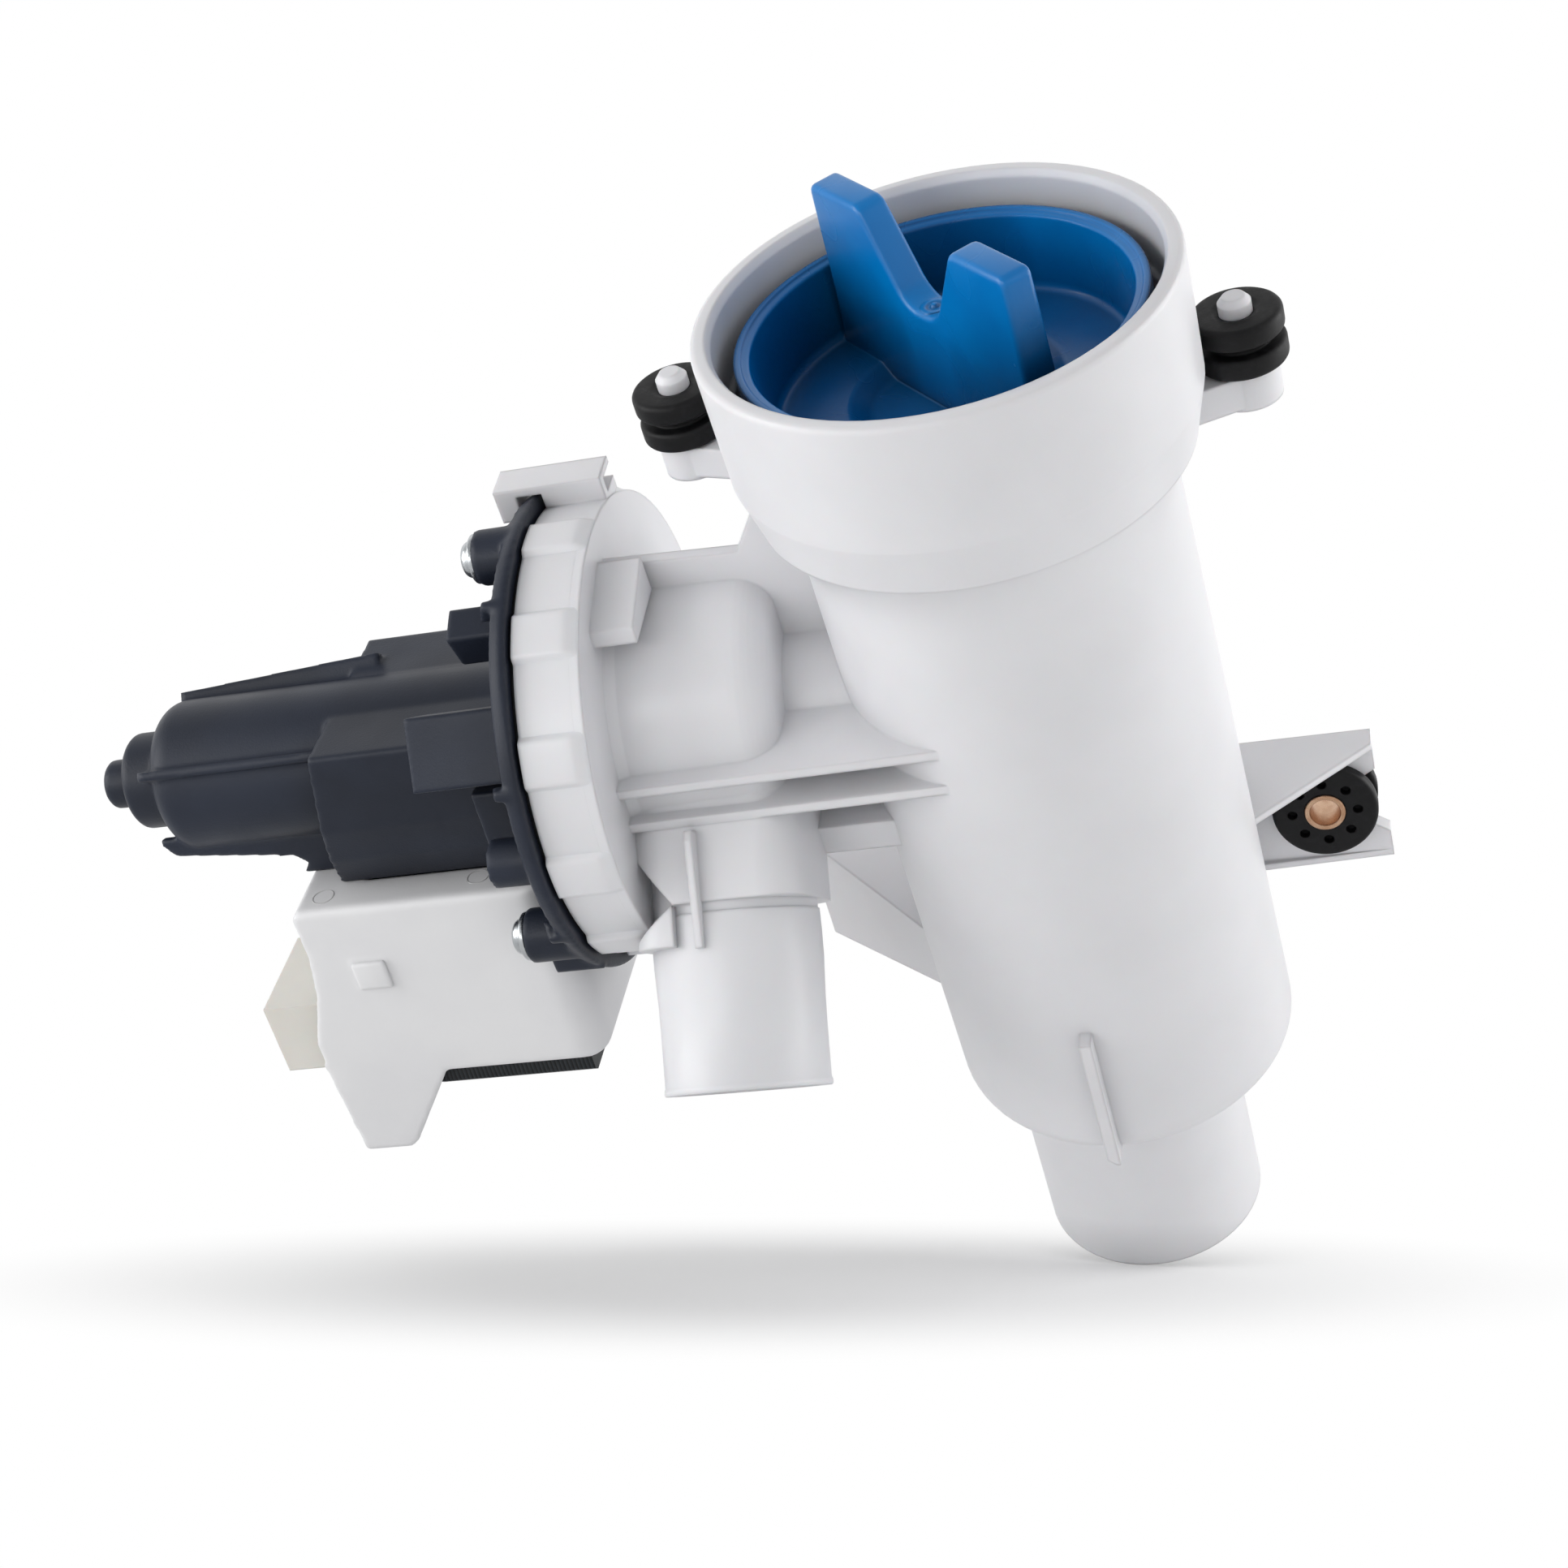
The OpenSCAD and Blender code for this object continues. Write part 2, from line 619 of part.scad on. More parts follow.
// Frame of the rear mount: its Z leaves toward the front, tilted up
module rear_mount_frame() {
    translate([rear_mount_x, rear_mount_y, rear_mount_z]) rotate([90 - rear_mount_tilt, 0, 0])
        translate([0, 0, -rear_mount_h / 2]) children();
}

module rear_grommet() {
    holes = 8;
    hole_circle_r = 6.1;
    color("black") difference() {
        rear_mount_frame() difference() {
            spool(rear_mount_r, rear_mount_h, plate_t, slot_half - 0.1, sleeve_r + run_gap);
            for (i = [0 : holes - 1]) rotate([0, 0, i * 360 / holes])
                translate([hole_circle_r + 1.2, 0, rear_mount_h - 1.6]) cylinder(h = 2.6, r = 0.9);
        }
        difference() {
            translate([rear_mount_x - rear_mount_r - over, rear_plate_y - run_gap, rear_mount_z - 15])
                cube([2 * rear_mount_r + 2 * over, plate_t + 2 * run_gap, 30]);
            rear_mount_frame() cylinder(h = rear_mount_h, r = slot_half - 0.1);
        }
    }
}

module rear_sleeve() {
    color("goldenrod") rear_mount_frame() ring_at(0, rear_mount_h + 0.4, sleeve_r, sleeve_bore_r);
}

// Outline of one side of the core, in the stator frame's X and Y, grown by a gap
module core_side(side, grow) {
    mirror([0, side < 0 ? 1 : 0]) difference() {
        polygon([[pole_top + grow, 8], [pole_top + grow, pole_half + grow],
            [-pole_low - grow * 0.4, pole_half + grow], [-cover_top, leg_out + grow],
            [-core_low, leg_out + grow], [-core_low, leg_in - grow], [-cover_top + 3, leg_in - grow],
            [-cover_top + 3, 8]]);
        circle(can_r + 0.6 - grow);
    }
}

// A fin along the rotor can at one azimuth, drawn as distance from the axis and depth
module can_fin(turn, outline) {
    rotate([0, 0, turn]) translate([0, rib_t / 2, 0]) rotate([90, 0, 0]) linear_extrude(rib_t) polygon(outline);
}

// Length of the boss under each flange screw
function boss_len(turn) = turn == screw_turns()[0] ? 9.8 : 12.2;

// The dark motor moulding
module motor_housing() {
    pocket_depth = pocket_x - motor_x;
    color(dark) difference() {
        union() {
            motor_frame() {
                rotate_extrude() polygon([[0, motor_x], [motor_flange_r, motor_x],
                    [motor_flange_r, motor_x + 1.4], [motor_flange_r - 0.8, motor_x + motor_flange_t],
                    [0, motor_x + motor_flange_t]]);
                rotate_extrude() polygon(concat([[0, motor_x]], [[can_r, motor_x]],
                    arc_points(can_r - can_round, can_end - can_round, can_round, 0, 90, 6),
                    [[step_r, can_end], [step_r, step_end - 1], [step_r - 1, step_end],
                    [tail_r, step_end], [tail_r, tail_end - 1], [tail_r - 1, tail_end], [0, tail_end]]));
                for (a = screw_turns()) rotate([0, 0, a]) translate([screw_circle_r, 0, motor_x])
                    cylinder(h = boss_len(a), r = 5.3);
                rotate([0, 0, -88]) translate([40, 0, motor_x]) cylinder(h = 11.3, r = 4.6);
                rotate([0, 0, -55]) translate([27, -7, motor_x]) cube([11.6, 14, 23.4]);
                rotate([0, 0, -20]) translate([31, -3.4, motor_x]) cube([9, 6.8, 14.6]);
                translate([-30.5, -36.8, motor_x]) cube([8.5, 8.2, 10]);
                can_fin(-50, [[8, 130], [17.2, 130], [16.2, can_end], [15, can_end + 1.2], [8, can_end + 1.2]]);
                can_fin(45, [[8, 130], [20, 130], [17, can_end - 2.2], [8, can_end - 2.2]]);
                for (a = [-22, -66, -109]) rotate([0, 0, a])
                    translate([motor_flange_r - 4.4, -rib_t / 2, motor_x]) rotate([90, 0, 0])
                        translate([0, 0, -rib_t]) linear_extrude(rib_t)
                            polygon([[0, 0], [4.4, 0], [4.4, motor_flange_t + 1.6], [0, motor_flange_t + 3.2]]);
            }
            stator_frame() translate([0, 0, motor_x]) {
                difference() {
                    linear_extrude(pocket_depth) polygon([[pocket_top, -pocket_half + 0.6],
                    [pocket_top - 0.8, -pocket_half], [-pocket_low, -pocket_half],
                    [-pocket_low - 8, -pocket_half + 1.8], [-cover_top, -pocket_foot],
                    [-cover_top, pocket_foot], [-pocket_low - 8, pocket_half - 1.8],
                    [-pocket_low, pocket_half], [pocket_top - 0.8, pocket_half],
                    [pocket_top, pocket_half - 0.6]]);
                    translate([-cover_top, -pocket_half - over, pocket_depth]) rotate([0, pocket_slant, 0])
                        cube([60, 2 * pocket_half + 2 * over, 20]);
                }
                translate([-10, -29, 0]) cube([16, 58, 16.5]);
            }
            stator_frame() for (side = [-1, 1]) {
                translate([0, side * 10.2 - rib_t / 2, 0]) rotate([-90, 0, 0]) mirror([0, 1, 0])
                    linear_extrude(rib_t) polygon([[-8, pocket_x - 8], [-8, can_end + 3], [-9, can_end + 3],
                        [-12, can_end + 1], [-15, can_end - 24], [-17, can_end - 26.5],
                        [-cover_top, cover_end + 1], [-cover_top, pocket_x - 8]]);
            }
        }
        motor_frame() {
            translate([0, 0, motor_x - over]) cylinder(h = rear_bearing_x - motor_x + over, r = can_bore_r);
            translate([0, 0, rear_bearing_x - over]) cylinder(h = bearing_len + over, r = bearing_seat_r);
            for (a = screw_turns()) rotate([0, 0, a]) translate([screw_circle_r, 0, motor_x - over])
                cylinder(h = boss_len(a) + 2 * over, r = screw_shank_r + run_gap);
        }
        stator_frame() translate([0, 0, core_x - core_gap]) for (side = [-1, 1])
            linear_extrude(core_t + 2 * core_gap) core_side(side, core_gap);
    }
}

module flange_seal() {
    color("dimgray") motor_frame() difference() {
        ring_at(motor_x - seal_t, motor_x, flange_r - 0.6, flange_r - rim_wall - 2.6);
        for (a = screw_turns()) rotate([0, 0, a]) translate([screw_circle_r, 0, motor_x - 2])
            cylinder(h = 4, r = screw_shank_r + 0.4);
    }
}

module flange_screws() {
    recess = 1.1 * screw_head_r;
    color("silver") for (a = screw_turns()) motor_frame() rotate([0, 0, a])
        translate([screw_circle_r, 0, motor_x + boss_len(a)]) {
            difference() {
                rotate_extrude() polygon([[0, 0], [screw_head_r, 0], [screw_head_r, 1.8],
                    [screw_head_r - 1.4, 3.1], [0, 3.4]]);
                for (t = [0, 90]) rotate([0, 0, t]) translate([-recess / 2, -0.5, 1.4]) cube([recess, 1, 3]);
            }
            translate([0, 0, screw_tip_x - motor_x - boss_len(a)])
                cylinder(h = motor_x + boss_len(a) - screw_tip_x + 0.5, r = screw_shank_r);
        }
}

module bearing_holder() {
    color("ivory") motor_frame() difference() {
        union() {
            ring_at(holder_x, motor_x, holder_r, 0);
            ring_at(motor_x, motor_x + holder_len, can_bore_r - run_gap, 0);
        }
        translate([0, 0, holder_x - over]) cylinder(h = 20, r = bearing_r + run_gap);
        ring_at(motor_x + 2.2, motor_x + 4.4, can_r, can_bore_r - 1.4);
        ring_at(motor_x + 6, motor_x + holder_len + over, can_bore_r - 2.6, bearing_r + 2);
    }
}

module bearing_holder_seal() {
    color("black") motor_frame() ring_at(motor_x + 2.3, motor_x + 4.3, can_bore_r - 0.08, can_bore_r - 1.3);
}

module shaft_seal() {
    color("black") motor_frame() ring_at(holder_x + 0.2, holder_x + 2.6, bearing_r, shaft_r + run_gap);
}

module front_bearing() {
    color("peru") motor_frame() ring_at(holder_x + 3, motor_x + holder_len - 1, bearing_r, shaft_r + run_gap);
}

module rear_bearing() {
    color("peru") motor_frame()
        ring_at(rear_bearing_x, rear_bearing_x + bearing_len - 1, bearing_seat_r - run_gap, shaft_r + run_gap);
}

// Hub with straight blades whose inner corners are cut away toward the suction side
module impeller() {
    blade_t = 1.8;
    hub_len = blade_h + 5;
    color("whitesmoke") motor_frame() translate([0, 0, impeller_x]) difference() {
        union() {
            rotate_extrude() polygon(concat([[0, 2]], arc_points(hub_r - 3, 5, 3, -90, 0, 5),
                [[hub_r, hub_len], [0, hub_len]]));
            ring_at(blade_h + 1, blade_h + 3, impeller_r - 4, 0);
            for (i = [0 : blades - 1]) rotate([0, 0, i * 360 / blades])
                translate([0, blade_t / 2, 0]) rotate([90, 0, 0]) linear_extrude(blade_t)
                    polygon([[2, 4], [hub_r + 3, 0], [impeller_r, 0], [impeller_r, blade_h],
                        [impeller_r - 4, blade_h + 2], [2, blade_h + 2]]);
        }
        translate([0, 0, shaft_x - impeller_x]) cylinder(h = hub_len, r = shaft_r);
    }
}

module rotor_shaft() {
    color("silver") motor_frame() translate([0, 0, shaft_x]) {
        cylinder(h = shaft_end - shaft_x, r = shaft_r);
    }
}

// Collar fixed on the shaft with one tooth that the drum's tooth pushes round
module driven_dog() {
    color("whitesmoke") motor_frame() difference() {
        union() {
            ring_at(dog_x, dog_x + dog_len, dog_r, 0);
            translate([0, 0, dog_x]) rotate([0, 0, 160]) rotate_extrude(angle = 40)
                translate([dog_r - over, 0]) square([dog_reach - dog_r + over, dog_len]);
        }
        translate([0, 0, dog_x - over]) cylinder(h = dog_len + 2 * over, r = shaft_r);
    }
}

module coupling_damper() {
    color("black") motor_frame() ring_at(dog_x - 1.5, dog_x, dog_reach - 0.3, shaft_r);
}

module rotor_magnet() {
    color("dimgray") motor_frame() ring_at(magnet_x, magnet_x + magnet_len, magnet_r, shaft_r + run_gap);
}

// Drum moulded on the magnet's back, with the driving tooth inside its wall
module drive_drum() {
    color("whitesmoke") motor_frame() {
        difference() {
            ring_at(drum_x, drum_x + drum_len, drum_r, 0);
            translate([0, 0, drum_x - over]) cylinder(h = drum_len + 2 * over, r = shaft_r + run_gap);
            translate([0, 0, drum_x + drum_floor]) cylinder(h = drum_len, r = drum_r - drum_wall);
        }
        translate([0, 0, dog_x]) rotate([0, 0, -20]) rotate_extrude(angle = 40)
            translate([dog_r + body_gap, 0]) square([drum_r - drum_wall - dog_r - body_gap + 0.5, dog_len]);
    }
}

module stator_core() {
    color("darkslategray") stator_frame() translate([0, 0, core_x]) {
        for (side = [-1, 1]) linear_extrude(core_t) core_side(side, 0);
        linear_extrude(core_t) polygon([[-core_low + yoke_h, -leg_out], [-core_low + yoke_h, leg_out],
            [-core_low + yoke_h - 2, yoke_half - 1], [-core_low + yoke_h - 3, yoke_half],
            [-core_low + 1, yoke_half], [-core_low, yoke_half - 1], [-core_low, -yoke_half + 1],
            [-core_low + 1, -yoke_half], [-core_low + yoke_h - 3, -yoke_half],
            [-core_low + yoke_h - 2, -yoke_half + 1]]);
    }
}

// A rectangular sleeve round one leg of the core, standing between two heights
module leg_sleeve(side, low, high, inside, outside) {
    mid = (leg_in + leg_out) / 2;
    w = leg_out - leg_in;
    translate([-low, side * mid, core_x + core_t / 2]) difference() {
        translate([0, -w / 2 - outside, -core_t / 2 - outside])
            cube([low - high, w + 2 * outside, core_t + 2 * outside]);
        translate([-over, -w / 2 - inside, -core_t / 2 - inside])
            cube([low - high + 2 * over, w + 2 * inside, core_t + 2 * inside]);
    }
}

module coil_bobbins() {
    color("seagreen") stator_frame() for (side = [-1, 1]) {
        leg_sleeve(side, coil_low, coil_top, run_gap, bobbin_t);
        leg_sleeve(side, coil_low, coil_low - 1.2, run_gap, bobbin_t + coil_t);
        leg_sleeve(side, coil_top + 1.2, coil_top, run_gap, bobbin_t + coil_t);
    }
}

module coil_windings() {
    color("peru") stator_frame() for (side = [-1, 1])
        leg_sleeve(side, coil_low - 1.2, coil_top + 1.2, bobbin_t, bobbin_t + coil_t - 0.4);
}

module thermal_cutout() {
    color("black") stator_frame() translate([-45, -22.6, core_x + 10]) cube([10, 2.5, 14]);
}

// Plan of the coil cover in the stator frame's Y and Z, drawn in by a wall, one corner rounder
module cover_plan(inset, z_end, corner) {
    half = cover_half - inset;
    translate([-half, cover_x + inset]) difference() {
        square([2 * half, z_end - cover_x - inset]);
        difference() {
            translate([-over, -over]) square(corner + over);
            translate([corner, corner]) circle(corner);
        }
    }
}

// Side view of the coil cover's box in the stator frame's X and Z
module cover_side() {
    polygon([[-cover_top, cover_x + 1], [-cover_top - 1, cover_x], [-cover_low + 2, cover_x],
        [-cover_low + 0.6, cover_x + 0.6], [-cover_low, cover_x + 2], [-cover_low, cover_end],
        [-cover_top - 1.4, cover_end], [-cover_top, cover_end - 1.4]]);
}

// Side view of the leg at the cover's connector end, which leans outward
module leg_side() {
    polygon([[-cover_top - 12, cover_end - over], [-cover_top - 12, cover_end],
        [-cover_top - 21, cover_end + 1.6], [-cover_top - 32.5, cover_end + 5.6],
        [-cover_top - 38.2, cover_end + 5.8], [-cover_top - 38.6, cover_end + 6.2],
        [-leg_bottom + 0.9, cover_end + 4.8], [-leg_bottom, cover_end + 4.4],
        [-leg_bottom, cover_end - 5.7], [-leg_bottom + 1.6, cover_end - 7.6],
        [-cover_low, cover_end - 19.3], [-cover_low + over, cover_end - 19.3],
        [-cover_low + over, cover_end - over]]);
}

// The white box under the motor with its leg
module coil_cover() {
    corner = 7;
    color(white) stator_frame() difference() {
        union() {
            intersection() {
                rotate([90, 0, 0]) translate([0, 0, -cover_half]) linear_extrude(2 * cover_half) cover_side();
                rotate([90, 0, 90]) translate([0, 0, -cover_low]) linear_extrude(cover_h)
                    cover_plan(0, cover_end, corner);
                translate([-cover_top - cover_h / 2, 0, cover_x]) linear_extrude(cover_len)
                    rounded_plan(cover_h, 2 * cover_half, 1.6);
            }
            rotate([90, 0, 0]) linear_extrude(cover_half) leg_side();
            translate([-cover_top - 19.6, -cover_half - 0.4, cover_end - 16.4]) cube([6.8, over, 7.5]);
        }
        rotate([90, 0, 90]) translate([0, 0, -cover_low - over]) linear_extrude(cover_h - cover_wall + over)
            cover_plan(cover_wall, cover_end - cover_wall - 6, corner - cover_wall);
        translate([-cover_top - 4, -pocket_foot + 0.4, core_x - 2])
            cube([6, 2 * pocket_foot - 0.8, core_t + 4]);
        translate([-leg_bottom - over, -cover_half + 2, cover_end - 14.4]) cube([22, cover_half - 4, 16]);
        translate([-core_low - core_gap, -yoke_half - core_gap, core_x - 2])
            cube([yoke_h + 2 * core_gap, 2 * (yoke_half + core_gap), core_t + 2 + core_gap]);
        translate([-block_top - block_h - 0.1, -block_front - 0.1, cover_end])
            cube([block_h + 0.2, block_w + 0.2, 20]);
    }
}

// Cream connector shell at the cover's side, open toward -X
module terminal_block() {
    shell = 1.6;
    color("antiquewhite") stator_frame() translate([-block_top - block_h, -block_front, cover_end]) difference() {
        cube([block_h, block_w, block_len]);
        translate([shell, shell, 4]) cube([block_h - 2 * shell, block_w - 2 * shell, block_len]);
        for (k = [0, 1]) translate([block_h / 2 - blade_t / 2 - run_gap, blade_y(k) - run_gap, -over])
            cube([blade_t + 2 * run_gap, blade_w + 2 * run_gap, 8]);
    }
}

function blade_y(k) = block_w / 2 - 8 + k * 10;

module terminal_blades() {
    color("silver") stator_frame() translate([-block_top - block_h, -block_front, cover_end]) for (k = [0, 1])
        translate([block_h / 2 - blade_t / 2, blade_y(k), 0]) cube([blade_t, blade_w, blade_len]);
}

filter_housing();
filter_cap();
cap_seal();
debris_filter();
front_grommet_left();
front_grommet_right();
rear_grommet();
rear_sleeve();
motor_housing();
flange_seal();
flange_screws();
bearing_holder();
bearing_holder_seal();
shaft_seal();
front_bearing();
rear_bearing();
impeller();
rotor_shaft();
driven_dog();
coupling_damper();
rotor_magnet();
drive_drum();
stator_core();
coil_bobbins();
coil_windings();
thermal_cutout();
coil_cover();
terminal_block();
terminal_blades();
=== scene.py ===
"""Dresses the washer drain pump: studio, finishes and the pieces that show most."""
import logging
from dataclasses import dataclass, field
from enum import Enum
from math import atan2, degrees, pi, radians

import bmesh
import bpy
from mathutils import Matrix, Vector


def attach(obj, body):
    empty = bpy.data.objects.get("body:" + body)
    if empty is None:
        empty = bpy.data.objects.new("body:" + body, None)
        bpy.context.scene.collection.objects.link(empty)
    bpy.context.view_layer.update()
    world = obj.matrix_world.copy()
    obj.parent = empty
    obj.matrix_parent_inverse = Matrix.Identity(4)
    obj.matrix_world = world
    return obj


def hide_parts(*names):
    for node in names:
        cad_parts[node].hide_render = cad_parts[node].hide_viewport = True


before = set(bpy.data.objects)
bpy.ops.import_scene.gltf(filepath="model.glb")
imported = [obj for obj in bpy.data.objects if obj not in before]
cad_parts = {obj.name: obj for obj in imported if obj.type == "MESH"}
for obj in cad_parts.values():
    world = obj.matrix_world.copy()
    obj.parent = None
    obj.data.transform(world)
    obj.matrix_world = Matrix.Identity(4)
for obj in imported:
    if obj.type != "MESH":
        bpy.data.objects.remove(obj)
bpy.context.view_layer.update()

MM = 0.001
WHITE = (1.0, 1.0, 1.0, 1.0)
Point = tuple[float, float]
log = logging.getLogger("drain_pump")


class Body(Enum):
    """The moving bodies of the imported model."""

    HOUSING = "root"
    INSERT = "filter_insert"
    CAP = "cap"
    ROTOR = "rotor"
    IMPELLER = "impeller_set"


# Colour and shader helpers


def linear(code: str) -> tuple[float, float, float, float]:
    """Turn an sRGB hex code into the linear colour that a shader socket takes.

    Args:
        code: six hex digits.

    Returns:
        Red, green, blue and an alpha of one.
    """
    parts = [int(code[i : i + 2], 16) / 255 for i in (0, 2, 4)]
    return (*(p / 12.92 if p <= 0.04045 else ((p + 0.055) / 1.055) ** 2.4 for p in parts), 1.0)


def add_node(tree: bpy.types.NodeTree, kind: str, values: dict | None = None,
             links: dict | None = None, **settings) -> bpy.types.Node:
    """Add one node, set its sockets and feed its inputs.

    Args:
        tree: the node tree that takes the node.
        kind: the node's type name.
        values: socket name or number to a plain value.
        links: socket name or number to the output socket that feeds it.
        settings: the node's own options.

    Returns:
        The new node.
    """
    node = tree.nodes.new(kind)
    for key, value in settings.items():
        setattr(node, key, value)
    for key, value in (values or {}).items():
        node.inputs[key].default_value = value
    for key, source in (links or {}).items():
        tree.links.new(source, node.inputs[key])
    return node


def blank_material(name: str) -> tuple[bpy.types.Material, bpy.types.NodeTree]:
    """Make a material with an empty node tree.

    Args:
        name: the material's name.

    Returns:
        The material and its tree.
    """
    material = bpy.data.materials.new(name)
    material.use_nodes = True
    material.node_tree.nodes.clear()
    return material, material.node_tree


def object_place(tree: bpy.types.NodeTree) -> bpy.types.NodeSocket:
    """Give the place on the piece, in metres, as an output socket."""
    return add_node(tree, "ShaderNodeTexCoord").outputs["Object"]


def noise(tree: bpy.types.NodeTree, place: bpy.types.NodeSocket, size_mm: float, detail: float,
          **values) -> bpy.types.NodeSocket:
    """Give a soft random pattern.

    Args:
        tree: the material's tree.
        place: the socket with the place on the piece.
        size_mm: width of its features.
        detail: how many finer layers it has.
        values: further sockets of the node.

    Returns:
        The pattern's socket.
    """
    values |= {"Scale": 1 / (size_mm * MM), "Detail": detail}
    return add_node(tree, "ShaderNodeTexNoise", values, {"Vector": place}).outputs["Fac"]


def ramp(tree: bpy.types.NodeTree, source: bpy.types.NodeSocket, low: tuple[float, str],
         high: tuple[float, str]) -> bpy.types.NodeSocket:
    """Blend from one colour to another between two values of a pattern.

    Args:
        tree: the material's tree.
        source: the pattern's socket.
        low: lower value and its hex code.
        high: higher value and its hex code.

    Returns:
        The colour socket.
    """
    node = add_node(tree, "ShaderNodeValToRGB", links={"Fac": source})
    for stop, (position, code) in zip(node.color_ramp.elements, (low, high)):
        stop.position = position
        stop.color = linear(code)
    return node.outputs["Color"]


def two_tone(tree: bpy.types.NodeTree, place: bpy.types.NodeSocket, size_mm: float, low: str,
             high: str) -> bpy.types.NodeSocket:
    """Blend two close tones in soft clouds, as an uneven melt leaves them.

    Args:
        tree: the material's tree.
        place: the socket with the place on the piece.
        size_mm: size of one cloud.
        low: hex code of the darker tone.
        high: hex code of the lighter tone.

    Returns:
        The colour socket.
    """
    return ramp(tree, noise(tree, place, size_mm, 3.0), (0.35, low), (0.65, high))


def spread(tree: bpy.types.NodeTree, source: bpy.types.NodeSocket, low: float,
           high: float) -> bpy.types.NodeSocket:
    """Map a pattern from 0.3 to 0.7 onto a range, for roughness that varies.

    Args:
        tree: the material's tree.
        source: the pattern's socket.
        low: value where the pattern is low.
        high: value where the pattern is high.

    Returns:
        The mapped value's socket.
    """
    values = {"From Min": 0.3, "From Max": 0.7, "To Min": low, "To Max": high}
    return add_node(tree, "ShaderNodeMapRange", values, {"Value": source}).outputs["Result"]


def relief(tree: bpy.types.NodeTree, height: bpy.types.NodeSocket, strength: float, distance_mm: float,
           under: bpy.types.Node | None = None) -> bpy.types.Node:
    """Raise a fine relief on a surface.

    Args:
        tree: the material's tree.
        height: the pattern that gives the height.
        strength: strength of the relief.
        distance_mm: height of the relief.
        under: the bevel or relief node that it lies on.

    Returns:
        The relief's node.
    """
    links = {"Height": height} | ({"Normal": under.outputs["Normal"]} if under else {})
    return add_node(tree, "ShaderNodeBump", {"Strength": strength, "Distance": distance_mm * MM}, links)


def coat(tree: bpy.types.NodeTree, values: dict, colour: bpy.types.NodeSocket, rough: bpy.types.NodeSocket,
         skin: bpy.types.Node) -> None:
    """End a material with one shader.

    Args:
        tree: the material's tree.
        values: the shader's plain values.
        colour: the socket of its colour.
        rough: the socket of its roughness.
        skin: the relief's node.
    """
    shader = add_node(tree, "ShaderNodeBsdfPrincipled", values,
                      {"Base Color": colour, "Roughness": rough, "Normal": skin.outputs["Normal"]})
    add_node(tree, "ShaderNodeOutputMaterial", links={"Surface": shader.outputs["BSDF"]})


# Finishes


@dataclass(frozen=True)
class Moulded:
    """Injection-moulded plastic: soft edges, a fine spark-eroded grain, slow clouds in the melt and painted
    shade in its nooks.

    Attributes:
        name: name of the material.
        low: hex code of the darker tone.
        high: hex code of the lighter tone.
        roughness: middle of the range that the slow waves run through.
        grain_mm: width of a grain.
        grain: strength of the grain's relief.
        edge_mm: radius that the light sees at each edge.
        ior: refractive index of the resin.
        glow: share of the light that enters the skin and comes out again.
        gloss: strength of the plain reflection.
        painted_shade: share of its colour that a deep nook loses, as painted shade.
        painted_shade_mm: how far off a wall still paints shade into a nook.
    """

    name: str
    low: str
    high: str
    roughness: float
    grain_mm: float = 0.5
    grain: float = 0.05
    edge_mm: float = 0.5
    ior: float = 1.49
    glow: float = 0.0
    gloss: float = 0.5
    painted_shade: float = 0.3
    painted_shade_mm: float = 14.0

    def make(self) -> bpy.types.Material:
        """Build the material, whose sheen comes from a smooth skin over the grain and whose nooks get painted
        shade.
        """
        material, tree = blank_material(self.name)
        place = object_place(tree)
        colour = two_tone(tree, place, 26.0, self.low, self.high)
        # painted shade: ambient occlusion darkens the colour in nooks and creases, standing in for the light
        # they lose
        nook = add_node(tree, "ShaderNodeAmbientOcclusion", {"Distance": self.painted_shade_mm * MM}, samples=16)
        dull = add_node(tree, "ShaderNodeMapRange",
                        {"From Min": 0.25, "From Max": 0.95, "To Min": 1 - self.painted_shade, "To Max": 1.0},
                        {"Value": nook.outputs["AO"]})
        painted_shade_colour = add_node(tree, "ShaderNodeVectorMath", links={0: colour, "Scale": dull.outputs["Result"]},
                          operation="SCALE").outputs["Vector"]
        grain = noise(tree, place, self.grain_mm, 2.0)
        waves = noise(tree, place, 14, 1.0)
        edge = add_node(tree, "ShaderNodeBevel", {"Radius": self.edge_mm * MM}, samples=8)
        skin = relief(tree, grain, self.grain, 0.3, relief(tree, waves, 0.12, 1.2, edge))
        rough = spread(tree, waves, self.roughness - 0.04, self.roughness + 0.05)
        coat(tree, {"IOR": self.ior, "Subsurface Weight": self.glow, "Subsurface Scale": 0.002,
                    "Specular IOR Level": self.gloss}, painted_shade_colour, rough, skin)
        return material


@dataclass(frozen=True)
class Rubber:
    """Moulded black rubber: dull, with pale mould dust and a few nibs."""

    name: str
    base: str = "08080a"
    dust: str = "1c1c1e"
    roughness: float = 0.5

    def make(self) -> bpy.types.Material:
        """Build the material, with dust gathered in small patches."""
        material, tree = blank_material(self.name)
        place = object_place(tree)
        patch = noise(tree, place, 2.2, 6.0, Roughness=0.7)
        colour = ramp(tree, patch, (0.5, self.base), (0.78, self.dust))
        edge = add_node(tree, "ShaderNodeBevel", {"Radius": 0.0004}, samples=6)
        skin = relief(tree, patch, 0.25, 0.2, edge)
        rough = spread(tree, patch, self.roughness - 0.08, self.roughness + 0.12)
        coat(tree, {"IOR": 1.52, "Specular IOR Level": 0.25}, colour, rough, skin)
        return material


